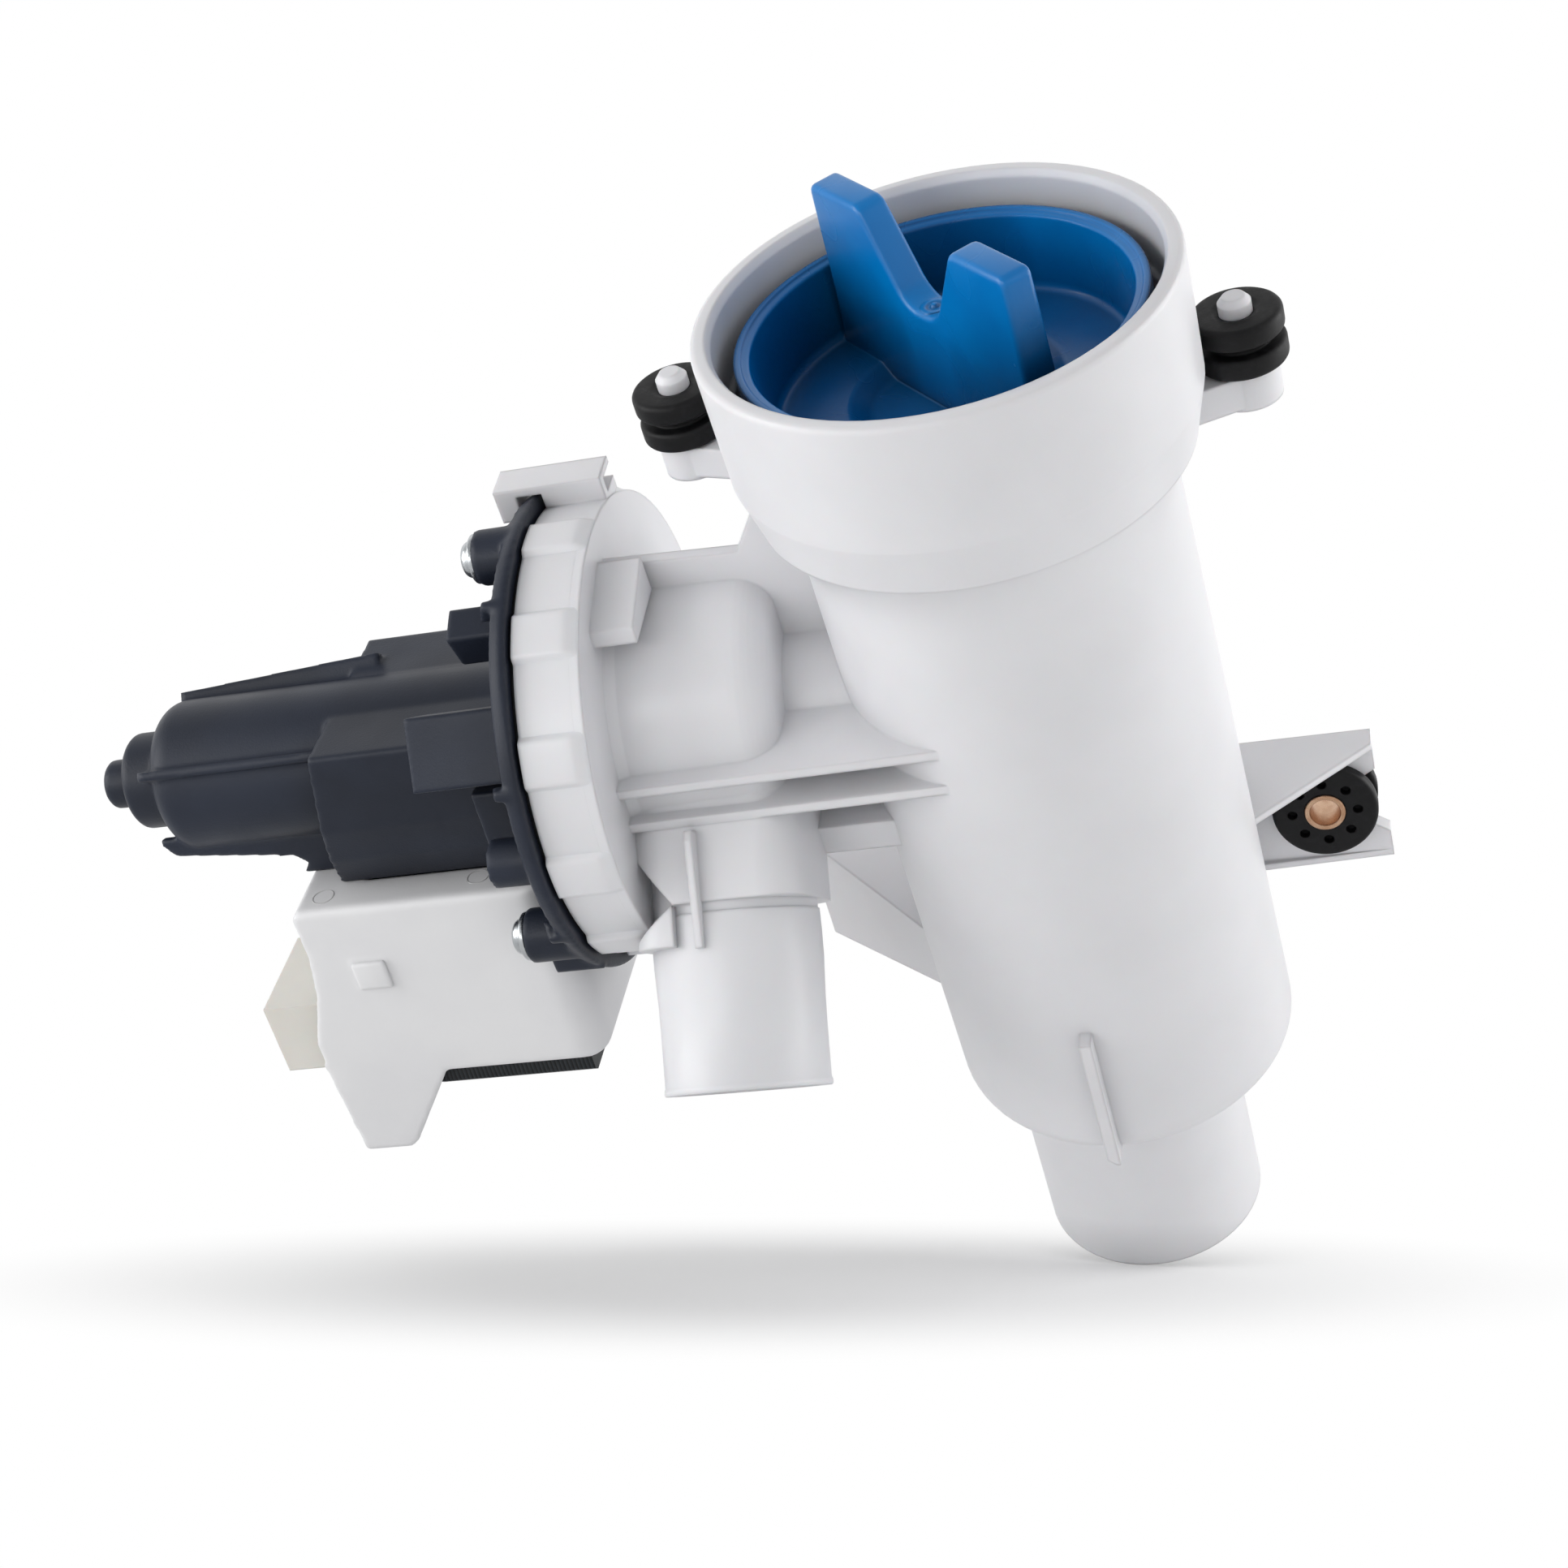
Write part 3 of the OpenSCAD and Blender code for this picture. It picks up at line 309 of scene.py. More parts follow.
@dataclass(frozen=True)
class Metal:
    """Turned, drawn or plated metal with fine tool marks."""

    name: str
    low: str
    high: str
    roughness: float
    mark_mm: float = 0.12

    def make(self) -> bpy.types.Material:
        """Build the material, its marks a stretched noise that the light breaks on."""
        material, tree = blank_material(self.name)
        place = object_place(tree)
        colour = two_tone(tree, place, 3.0, self.low, self.high)
        stretch = add_node(tree, "ShaderNodeMapping", {"Scale": (1.0, 0.08, 1.0)}, {"Vector": place})
        marks = noise(tree, stretch.outputs["Vector"], self.mark_mm, 2.0)
        edge = add_node(tree, "ShaderNodeBevel", {"Radius": 0.0002}, samples=6)
        skin = relief(tree, marks, 0.15, 0.1, edge)
        rough = spread(tree, marks, self.roughness - 0.06, self.roughness + 0.08)
        coat(tree, {"Metallic": 1.0}, colour, rough, skin)
        return material


class Lay(Enum):
    """Direction that a stack or a winding is laid in: the wave texture's axis."""

    ALONG_MOTOR = "X"
    UP_THE_LEG = "Z"


@dataclass(frozen=True)
class Layered:
    """Thin layers side by side: core sheets or enamelled wire, a groove between each two."""

    name: str
    groove: str
    face: str
    pitch_mm: float
    lay: Lay
    roughness: float
    metallic: float

    def make(self) -> bpy.types.Material:
        """Build the material; the pitch is drawn coarser than life so that the layers show."""
        material, tree = blank_material(self.name)
        place = object_place(tree)
        wave = add_node(tree, "ShaderNodeTexWave",
                        {"Scale": 1 / (self.pitch_mm * MM) / 3.14, "Distortion": 0.3, "Detail": 1.0},
                        {"Vector": place}, wave_type="BANDS", bands_direction=self.lay.value).outputs["Fac"]
        colour = ramp(tree, wave, (0.1, self.groove), (0.6, self.face))
        rough = spread(tree, wave, self.roughness + 0.15, self.roughness)
        coat(tree, {"Metallic": self.metallic}, colour, rough, relief(tree, wave, 0.6, 0.2))
        return material


# every Moulded finish below paints shade into its nooks and creases through painted_shade and painted_shade_mm
FINISHES = {
    # polypropylene, moulded in a satin tool: a cool white that glows a little in thin ribs, with light painted
    # shade in its creases
    "white_polypropylene": Moulded("white_polypropylene", "e3e3e6", "e7e7ea", 0.34, edge_mm=1.0, glow=0.08,
                                   painted_shade=0.2, painted_shade_mm=11.0),
    # the same resin with a blue masterbatch, from a polished tool; heavy painted shade darkens its deep dish
    # and nooks
    "blue_polypropylene": Moulded("blue_polypropylene", "0072bc", "0080cc", 0.24, grain_mm=0.7, grain=0.05,
                                  edge_mm=0.8, gloss=0.42, painted_shade=0.85, painted_shade_mm=26.0),
    "basket_polypropylene": Moulded("basket_polypropylene", "5b8fc4", "6a9bcc", 0.36),
    "seal_rubber": Rubber("seal_rubber", "141416", "26262a", 0.45),
    "mount_rubber": Rubber("mount_rubber"),
    # turned brass bush, dulled by handling
    "sleeve_brass": Metal("sleeve_brass", "b78f72", "cba88c", 0.3),
    # glass-filled polyester in charcoal: dull skin, fibres just under it
    "dark_polyester": Moulded("dark_polyester", "1e232f", "252b39", 0.42, grain_mm=0.4, grain=0.12,
                               edge_mm=1.0, ior=1.55, gloss=0.26),
    # rolled screw with bright zinc plating
    "zinc_steel": Metal("zinc_steel", "b4b8bc", "cdd0d2", 0.22),
    "holder_polyester": Moulded("holder_polyester", "cfcabb", "d8d3c6", 0.45),
    "bearing_carbon": Moulded("bearing_carbon", "2e2a28", "3a3532", 0.4, grain=0.2),
    "impeller_polypropylene": Moulded("impeller_polypropylene", "d9d9d6", "e2e2df", 0.4),
    "stainless_steel": Metal("stainless_steel", "b9bbbd", "c9cbcd", 0.2),
    "ferrite": Moulded("ferrite", "2f3033", "3a3b3f", 0.55, grain=0.3),
    # stamped core sheets under black varnish
    "lamination_steel": Layered("lamination_steel", "0c0e10", "20262a", 0.9, Lay.ALONG_MOTOR, 0.4, 0.3),
    "bobbin_polyamide": Moulded("bobbin_polyamide", "1f6b4c", "257856", 0.4),
    "enamelled_copper": Layered("enamelled_copper", "4a1d0c", "b5622d", 0.5, Lay.UP_THE_LEG, 0.3, 0.8),
    "cutout_plastic": Moulded("cutout_plastic", "17181a", "202225", 0.4),
    # mineral-filled polyester of the coil box: a flat, slightly warm white
    "cover_polyester": Moulded("cover_polyester", "e6e6e8", "ebebec", 0.42, grain_mm=0.6, grain=0.08,
                               edge_mm=1.3),
    # unfilled polyamide shell: cream and a little translucent
    "cream_polyamide": Moulded("cream_polyamide", "dddbd3", "e4e2db", 0.38, glow=0.15),
    "tinned_brass": Metal("tinned_brass", "a9aaa8", "c2c3c0", 0.3),
}


MADE: dict[str, bpy.types.Material] = {}


def finish_material(slot: str) -> bpy.types.Material:
    """Give the material of a slot, made once."""
    if slot not in MADE:
        MADE[slot] = FINISHES[slot].make()
    return MADE[slot]


# Modelling helpers


def clear_selection() -> None:
    """Leave edit mode and select nothing, because the loaded nodes come selected."""
    if bpy.context.mode != "OBJECT":
        bpy.ops.object.mode_set(mode="OBJECT")
    bpy.ops.object.select_all(action="DESELECT")


def pick(piece: bpy.types.Object) -> None:
    """Make one piece the only selected and active one."""
    clear_selection()
    piece.select_set(True)
    bpy.context.view_layer.objects.active = piece


def start_outline(name: str, outline: list[Point], rounding: dict[int, float],
                  upright: bool) -> bpy.types.Object:
    """Add a many-sided circle and pull its corners to an outline, then round some of them.

    Args:
        name: name of the new piece.
        outline: corners in mm.
        rounding: corner number to its radius in mm.
        upright: whether the second number of a corner is a height, as for a spun profile.

    Returns:
        The piece, left in edit mode with one flat face.
    """
    clear_selection()
    bpy.ops.mesh.primitive_circle_add(vertices=len(outline), radius=0.01, fill_type="NGON")
    piece = bpy.context.object
    piece.name = piece.data.name = name
    bpy.ops.object.mode_set(mode="EDIT")
    bpy.ops.mesh.select_mode(type="VERT")
    mesh = bmesh.from_edit_mesh(piece.data)
    corners = sorted(mesh.verts, key=lambda v: v.index)
    for corner, (a, b) in zip(corners, outline):
        corner.co = Vector((a, 0, b) if upright else (a, b, 0)) * MM
    bmesh.update_edit_mesh(piece.data)
    for radius in sorted(set(rounding.values())):
        chosen = [Vector((outline[i][0], 0, outline[i][1]) if upright else (*outline[i], 0)) * MM
                  for i, r in rounding.items() if r == radius]
        mesh = bmesh.from_edit_mesh(piece.data)
        for corner in mesh.verts:
            corner.select_set(any((corner.co - place).length < 1e-7 for place in chosen))
        bmesh.update_edit_mesh(piece.data)
        bpy.ops.mesh.bevel(offset_type="OFFSET", offset=radius * MM, segments=4, affect="VERTICES",
                           clamp_overlap=True)
    return piece


def close_up(piece: bpy.types.Object, place: Matrix) -> bpy.types.Object:
    """Merge doubles, turn the faces outward and set the mesh in its place.

    Args:
        piece: the piece in edit mode.
        place: the frame that it is drawn in, in metres.

    Returns:
        The piece in object mode.
    """
    bpy.ops.mesh.select_all(action="SELECT")
    bpy.ops.mesh.remove_doubles(threshold=2e-6)
    bpy.ops.mesh.delete_loose(use_verts=True, use_edges=True, use_faces=False)
    bpy.ops.mesh.select_all(action="SELECT")
    bpy.ops.mesh.normals_make_consistent(inside=False)
    bpy.ops.object.mode_set(mode="OBJECT")
    piece.data.transform(place)
    return piece


def spun(name: str, profile: list[Point], rounding: dict[int, float], place: Matrix,
         steps: int = 96) -> bpy.types.Object:
    """Spin a closed profile round the local Z.

    Args:
        name: name of the piece.
        profile: radius and height of each corner in mm.
        rounding: corner number to its radius in mm.
        place: the frame that it is drawn in.
        steps: number of facets round the axis.

    Returns:
        The closed piece.
    """
    piece = start_outline(name, profile, rounding, True)
    bpy.ops.mesh.select_all(action="SELECT")
    bpy.ops.mesh.delete(type="ONLY_FACE")
    bpy.ops.mesh.select_all(action="SELECT")
    bpy.ops.mesh.spin(steps=steps, angle=2 * pi, center=(0, 0, 0), axis=(0, 0, 1))
    return close_up(piece, place)


def slab(name: str, outline: list[Point], rounding: dict[int, float], thickness: float, place: Matrix,
         edge: float = 0.0, segments: int = 3) -> bpy.types.Object:
    """Extrude an outline along the local Z and round its rims.

    Args:
        name: name of the piece.
        outline: corners in mm.
        rounding: corner number to its radius in mm.
        thickness: length of the extrusion in mm, with its middle at the local zero.
        place: the frame that it is drawn in.
        edge: radius of the rims in mm.
        segments: facets round a rim.

    Returns:
        The closed piece.
    """
    piece = start_outline(name, outline, rounding, False)
    bpy.ops.mesh.select_all(action="SELECT")
    bpy.ops.transform.translate(value=(0, 0, -thickness / 2 * MM))
    bpy.ops.mesh.extrude_region_move(TRANSFORM_OT_translate={"value": (0, 0, thickness * MM)})
    bpy.ops.mesh.select_all(action="SELECT")
    bpy.ops.mesh.normals_make_consistent(inside=False)
    if edge:
        bevel_sharp(edge, segments)
    return close_up(piece, place)


def bevel_sharp(edge: float, segments: int) -> None:
    """Round every sharp edge of the piece in edit mode by so many mm."""
    bpy.ops.mesh.select_mode(type="EDGE")
    bpy.ops.mesh.select_all(action="DESELECT")
    bpy.ops.mesh.edges_select_sharp(sharpness=radians(40))
    bpy.ops.mesh.bevel(offset_type="OFFSET", offset=edge * MM, segments=segments, affect="EDGES",
                       clamp_overlap=True)


def block(name: str, low: tuple, high: tuple, place: Matrix, edge: float = 0.3) -> bpy.types.Object:
    """Add a cube between two corners in mm and round its edges.

    Args:
        name: name of the piece.
        low: lowest corner.
        high: highest corner.
        place: the frame that it is drawn in.
        edge: radius of the edges in mm.

    Returns:
        The closed piece.
    """
    clear_selection()
    middle = [(a + b) / 2 * MM for a, b in zip(low, high)]
    bpy.ops.mesh.primitive_cube_add(size=1, location=(0, 0, 0))
    piece = bpy.context.object
    piece.name = piece.data.name = name
    bpy.ops.object.mode_set(mode="EDIT")
    bpy.ops.transform.resize(value=[(b - a) * MM for a, b in zip(low, high)])
    bpy.ops.transform.translate(value=middle)
    if edge:
        bevel_sharp(edge, 3)
    return close_up(piece, place)


def combine(piece: bpy.types.Object, tool: bpy.types.Object, operation: str) -> bpy.types.Object:
    """Join or cut a piece with a second one, which is used up.

    Args:
        piece: the piece that stays.
        tool: the piece that it is joined or cut with.
        operation: UNION or DIFFERENCE.

    Returns:
        The piece.
    """
    pick(piece)
    change = piece.modifiers.new("combine", "BOOLEAN")
    change.operation = operation
    change.object = tool
    change.solver = "EXACT"
    bpy.ops.object.modifier_apply(modifier=change.name)
    bpy.data.objects.remove(tool)
    return piece


def smooth(piece: bpy.types.Object, angle: float = 35.0) -> None:
    """Shade a piece smooth up to an angle in degrees."""
    pick(piece)
    bpy.ops.object.shade_smooth_by_angle(angle=radians(angle))
    clear_selection()


def hand_over(piece: bpy.types.Object, body: Body, slot: str, nodes: tuple[str, ...] = (),
              angle: float = 35.0) -> bpy.types.Object:
    """Finish a piece: shade it, dress it and let it ride on its body.

    Args:
        piece: the finished mesh.
        body: the body that it moves with.
        slot: the record's material slot.
        nodes: the CAD nodes that it stands for.
        angle: smoothing angle in degrees.

    Returns:
        The piece.
    """
    smooth(piece, angle)
    piece.data.materials.clear()
    piece.data.materials.append(finish_material(slot))
    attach(piece, body.value)
    if nodes:
        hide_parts(*nodes)
    log.info("%s: %d faces on %s", piece.name, len(piece.data.polygons), body.value)
    return piece


# Frames that the pieces are drawn in: lengths in mm, turns in degrees

AXIS_Z = 143.5
STATOR_TURN = 5.4


def shift(x: float, y: float, z: float) -> Matrix:
    """A move by mm."""
    return Matrix.Translation(Vector((x, y, z)) * MM)


def turn(angle: float, axis: str) -> Matrix:
    """A turn about one axis, in degrees."""
    return Matrix.Rotation(radians(angle), 4, axis)


MOTOR = shift(0, 0, AXIS_Z) @ turn(-90, "Y")
STATOR = MOTOR @ turn(STATOR_TURN, "Z")
UPRIGHT = Matrix.Identity(4)


# Sub-assemblies: all fields in mm and degrees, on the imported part's own frame


@dataclass
class FilterCap:
    """The blue cap: a deep dish, its plug with the seal groove and swivel pin, and the two-pronged grip."""

    rim_z: float = 226.7
    lip_r: float = 36.2
    lip_z: float = 221.6
    dish_z: float = 207.0
    plug_h: float = 8.0
    recess_r: float = 19.0
    recess_floor_r: float = 15.4
    recess_depth: float = 2.4
    grip_turn: float = -50.2
    grip_rise: float = 12.2
    grip_t: float = 5.9
    grip_aside: float = -0.65
    grip_taper: float = 0.13
    prong_reach: float = 21.5
    prong_len: float = 15.6

    def dish(self) -> bpy.types.Object:
        """Spin the dish with its rounded lip, the groove of the seal and the recess in its floor."""
        plug_z = self.dish_z - self.plug_h
        plug_r = self.lip_r + 1.85
        seal_z = plug_z + 2.2
        seat_z = self.lip_z - 7.6
        in_top = self.lip_r - 2.8
        profile = [(0, plug_z), (5, plug_z), (8, plug_z), (8, self.dish_z - 4.6),
                   (plug_r - 4.4, self.dish_z - 4.6), (plug_r - 4.4, plug_z),
                   (plug_r, plug_z), (plug_r, seal_z), (self.lip_r, seal_z),
                   (self.lip_r, seal_z + 4), (plug_r, seal_z + 4), (plug_r, seat_z - 2.6),
                   (plug_r - 0.6, seat_z - 1.6), (self.lip_r, seat_z - 1), (self.lip_r, self.lip_z),
                   (self.lip_r - 1.3, self.lip_z), (self.lip_r - 1.5, self.lip_z - 0.5),
                   (in_top, self.lip_z - 0.6), (in_top - 1.4, self.dish_z),
                   (self.recess_r, self.dish_z), (self.recess_floor_r, self.dish_z - self.recess_depth),
                   (0, self.dish_z - self.recess_depth)]
        rounding = {14: 0.5, 15: 0.2, 16: 0.2, 17: 0.5, 18: 1.6, 19: 0.6, 20: 0.8}
        return spun("cap_dish", profile, rounding, UPRIGHT, 144)

    def grip(self) -> bpy.types.Object:
        """Extrude the grip's two prongs, thin them a little upward and round every edge."""
        low = self.dish_z - 3
        top = self.rim_z + self.grip_rise
        saddle = self.lip_z + 1.1
        foot = self.lip_r - 4.6
        outer = self.prong_reach + self.prong_len / 2
        inner = self.prong_reach - self.prong_len / 2
        right = [(foot, low), (foot - 1.6, low + 8), (outer, top), (inner, top), (4.6, saddle)]
        outline = [(x, z) for x, z in right] + [(-x, z) for x, z in reversed(right)]
        rounding = {1: 6.0, 2: 1.6, 3: 1.6, 4: 3.2, 5: 3.2, 6: 1.6, 7: 1.6, 8: 6.0}
        place = turn(self.grip_turn, "Z") @ shift(self.grip_aside, 0, 0) @ turn(90, "X")
        piece = slab("cap_grip", outline, rounding, self.grip_t + 0.9, place, 1.15, 4)
        axis = turn(self.grip_turn, "Z") @ Vector((0, 1, 0))
        for corner in piece.data.vertices:
            share = (corner.co.z / MM - low) / (top - low)
            corner.co -= axis * axis.dot(corner.co) * self.grip_taper * share
        return piece

    def build(self) -> None:
        """Join dish, grip, swivel pin and gate mark, and hand the cap over."""
        cap = combine(self.dish(), self.grip(), "UNION")
        hub_z = self.dish_z - self.plug_h - 3.7
        pin = spun("cap_pin", [(0, hub_z - 1.6), (4.4, hub_z - 1.6), (6, hub_z), (5, hub_z),
                               (5, self.dish_z - 6), (0, self.dish_z - 6)], {}, UPRIGHT, 64)
        cap = combine(cap, pin, "UNION")
        nub = [(0, 0), (2.6, 0), (2.5, 0.35), (1.6, 0.35), (1.3, 0.12), (0.8, 0.12), (0.5, 0.7), (0, 0.8)]
        seat = turn(self.grip_turn, "Z") @ shift(self.grip_aside, 0, self.lip_z + 1.0)
        gate = spun("cap_gate", nub, {}, seat, 40)
        cap = combine(cap, gate, "UNION")
        cap.name = cap.data.name = "blue_cap"
        hand_over(cap, Body.CAP, "blue_polypropylene", ("filter_cap",), 30)


@dataclass
class SoftMoulding:
    """A moulded shell with the rounded edges and root fillets of its tool, made from its own solid.

    Attributes:
        name: name of the piece.
        node: CAD node that it is made from and stands for.
        finish: the record's material slot.
        voxel_mm: size of the remesh, small enough to keep the thin fins.
        passes: rounds of smoothing.
        most: highest number of triangles left.
    """

    name: str
    node: str
    finish: str
    voxel_mm: float = 0.5
    passes: int = 2
    most: int = 180000

    def build(self) -> None:
        """Copy the solid, round every edge by a fine remesh and a little smoothing, and thin the mesh."""
        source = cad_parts[self.node]
        clear_selection()
        piece = bpy.data.objects.new(self.name, source.data.copy())
        bpy.context.scene.collection.objects.link(piece)
        pick(piece)
        bpy.ops.object.mode_set(mode="EDIT")
        bpy.ops.mesh.select_all(action="SELECT")
        bpy.ops.mesh.remove_doubles(threshold=2e-6)
        bpy.ops.object.mode_set(mode="OBJECT")
        melt = piece.modifiers.new("melt", "REMESH")
        melt.mode = "VOXEL"
        melt.voxel_size = self.voxel_mm * MM
        bpy.ops.object.modifier_apply(modifier=melt.name)
        relax = piece.modifiers.new("relax", "SMOOTH")
        relax.factor = 0.5
        relax.iterations = self.passes
        bpy.ops.object.modifier_apply(modifier=relax.name)
        thin = piece.modifiers.new("thin", "DECIMATE")
        thin.ratio = min(1.0, self.most / (2 * len(piece.data.polygons)))
        bpy.ops.object.modifier_apply(modifier=thin.name)
        hand_over(piece, Body.HOUSING, self.finish, (self.node,), 80)


@dataclass
class RimBand:
    """The pump flange's rim between its two edges, with soft pads in place of the solid's plain ones.

    Attributes:
        radius: plain radius of the rim.
        low: the rim's edge at the pump, along the motor axis.
        high: its edge at the motor.
        pads: number of pads.
        pad_half: half width of a pad's flat.
        fall: width of its soft flank.
        rise: its height over the band.
        fade: length over which it rises from the low edge.
        sunk: how far the band lies below the plain rim between the pads.
        depth: how far its edges reach into the flange.
        rows: rows of faces along the axis.
    """

    radius: float = 44.5
    low: float = 73.0
    high: float = 85.5
    pads: int = 12
    pad_half: float = 4.9
    fall: float = 1.9
    rise: float = 1.14
    fade: float = 2.7
    sunk: float = 0.1
    depth: float = 1.2
    rows: int = 12

    def lift(self, angle: float, along: float) -> float:
        """Height over the plain rim at an angle and a place along the motor axis."""
        pitch = 360 / self.pads
        away = abs((angle + pitch / 2) % pitch - pitch / 2)
        side = min(max((self.pad_half + self.fall - away) / self.fall, 0), 1)
        end = min(max((along - self.low) / self.fade, 0), 1)
        side, end = side * side * (3 - 2 * side), end * end * (3 - 2 * end)
        return self.rise * side * end - self.sunk

    def build(self) -> None:
        """Spin a thin band and raise the pads on it."""
        step = (self.high - self.low) / self.rows
        profile = [(self.radius - self.depth, self.low)]
        profile += [(self.radius - self.sunk, self.low + i * step) for i in range(self.rows + 1)]
        profile += [(self.radius - self.depth, self.high)]
        piece = spun("rim_band", profile, {}, UPRIGHT, 720)
        for corner in piece.data.vertices:
            x, y, z = corner.co / MM
            reach = (x * x + y * y) ** 0.5
            if reach > self.radius - 2 * self.sunk:
                height = self.lift(degrees(atan2(y, x)), z)
                corner.co.x *= (self.radius + height) / reach
                corner.co.y *= (self.radius + height) / reach
        piece.data.transform(MOTOR)
        hand_over(piece, Body.HOUSING, "white_polypropylene", (), 60)


@dataclass
class OutletSkin:
    """The outlet port's skin: a faint taper from the root, and the bead at its mouth.

    Attributes:
        turned: turn of the port about the motor axis.
        side: how far its axis passes beside the motor axis.
        along: place of its axis along the motor axis.
        radius: radius of the port.
        reach: distance of its mouth from the motor axis.
    """

    turned: float = -133.8
    side: float = 5.0
    along: float = 59.05
    radius: float = 15.65
    reach: float = 73.1

    def build(self) -> None:
        """Spin the tapered skin and the bead round the port's axis."""
        place = MOTOR @ turn(self.turned, "Z") @ shift(0, self.side, self.along) @ turn(90, "Y")
        r, end = self.radius, self.reach
        skin = [(r - 1, 40), (r + 0.3, 40), (r + 0.42, 44), (r + 0.42, 48.9), (r + 0.3, 51.5),
                (r + 0.12, 56), (r + 0.03, 61), (r + 0.02, end - 1.5), (r + 0.24, end - 1.1),
                (r + 0.24, end - 0.2), (r - 0.1, end + 0.02), (r - 1, end - 0.6)]
        piece = spun("outlet_skin", skin, {8: 0.12, 9: 0.2}, place, 128)
        hand_over(piece, Body.HOUSING, "white_polypropylene", (), 40)


@dataclass
class FlangeScrews:
    """Three zinc-plated screws: washer head with a turned edge and a cross recess, and a plain shank.

    Attributes:
        circle: radius of the screws' circle.
        seats: angle of each screw and height of its boss.
        seat_x: outer face of the motor flange, from which the bosses rise.
        head_r: radius of the washer head.
        shank_r: radius of the shank.
        tip_x: end of the shank along the motor axis.
        cross: half length and half width of the recess.
        cross_low: floor of the recess over the seat.
        cross_turn: turn of the recess.
    """

    circle: float = 41.5
    seats: tuple[tuple[float, float], ...] = ((1.4, 9.8), (-120.0, 12.2), (120.0, 12.2))
    seat_x: float = 86.2
    head_r: float = 4.75
    shank_r: float = 1.88
    tip_x: float = 77.0
    cross: tuple[float, float] = (2.4, 0.45)
    cross_low: float = 1.3
    cross_turn: float = 20.0

    def build(self) -> None:
        """Spin each screw, cut its cross and hand the three over as one node's pieces."""
        rounding = {4: 0.25, 5: 0.35, 6: 0.2, 7: 0.7, 8: 0.6}
        long, wide = self.cross
        for number, (angle, boss) in enumerate(self.seats):
            r, shank, low = self.head_r, self.shank_r, self.tip_x - self.seat_x - boss
            profile = [(0, low), (shank - 0.7, low), (shank, low + 1.4), (shank, 0.02), (r, 0.02),
                       (r, 1.0), (r - 1.2, 1.25), (r - 1.3, 2.5), (r - 2.4, 3.2), (0, 3.35)]
            place = MOTOR @ turn(angle, "Z") @ shift(self.circle, 0, self.seat_x + boss)
            screw = spun(f"flange_screw_{number + 1}", profile, rounding, place, 64)
            for quarter in (0, 90):
                bar = block("bar", (-long, -wide, self.cross_low), (long, wide, 5),
                            place @ turn(quarter + self.cross_turn, "Z"), 0)
                screw = combine(screw, bar, "DIFFERENCE")
            hand_over(screw, Body.HOUSING, "zinc_steel", ("flange_screws",), 35)


@dataclass
class CoverMarks:
    """Witness rings of the ejector pins on top of the coil cover, and the small pad on its front.

    Attributes:
        top: how far the cover's top lies below the motor axis.
        spots: place of each ring across and along the cover.
        pad: lowest and highest corner of the pad in the stator's frame.
    """

    top: float = 19.5
    spots: tuple[tuple[float, float], ...] = ((-20.1, 144.5), (-18.9, 111.8))
    pad: tuple[tuple[float, float, float], ...] = ((-39.0, -26.4, 134.2), (-32.4, -24.6, 141.4))

    def build(self) -> None:
        """Spin the shallow rings into the cover's skin and set the pad on its front."""
        for number, (across, along) in enumerate(self.spots):
            place = STATOR @ shift(-self.top, across, along) @ turn(90, "Y")
            ring = [(1.95, -0.4), (2.35, -0.4), (2.35, 0.02), (2.2, 0.1), (2.05, 0.02), (1.95, -0.1)]
            piece = spun(f"ejector_ring_{number + 1}", ring, {}, place, 48)
            hand_over(piece, Body.HOUSING, "cover_polyester", (), 30)
        pad = block("cover_pad", *self.pad, STATOR, 0.5)
        hand_over(pad, Body.HOUSING, "cover_polyester", (), 30)


@dataclass
class FrontMount:
    """A rubber spool on its white pin beside the collar."""

    name: str
    node: str
    seat: tuple[float, float, float]
    radius: float = 8.2
    height: float = 10.0
    groove: float = 1.8
    groove_r: float = 5.8
    bore: float = 3.05

    def build(self) -> None:
        """Spin the spool with soft lips and a shallow dish round the pin."""
        disc = (self.height - self.groove) / 2
        r, h = self.radius, self.height
        profile = [(self.bore, 0), (r, 0), (r, disc), (self.groove_r, disc),
                   (self.groove_r, disc + self.groove), (r, disc + self.groove), (r, h),
                   (self.bore + 1.2, h), (self.bore, h - 0.5)]
        rounding = {1: 0.9, 2: 0.8, 3: 0.3, 4: 0.3, 5: 0.8, 6: 1.1, 7: 0.3}
        piece = spun(self.name, profile, rounding, shift(*self.seat), 72)
        hand_over(piece, Body.HOUSING, "mount_rubber", (self.node,))


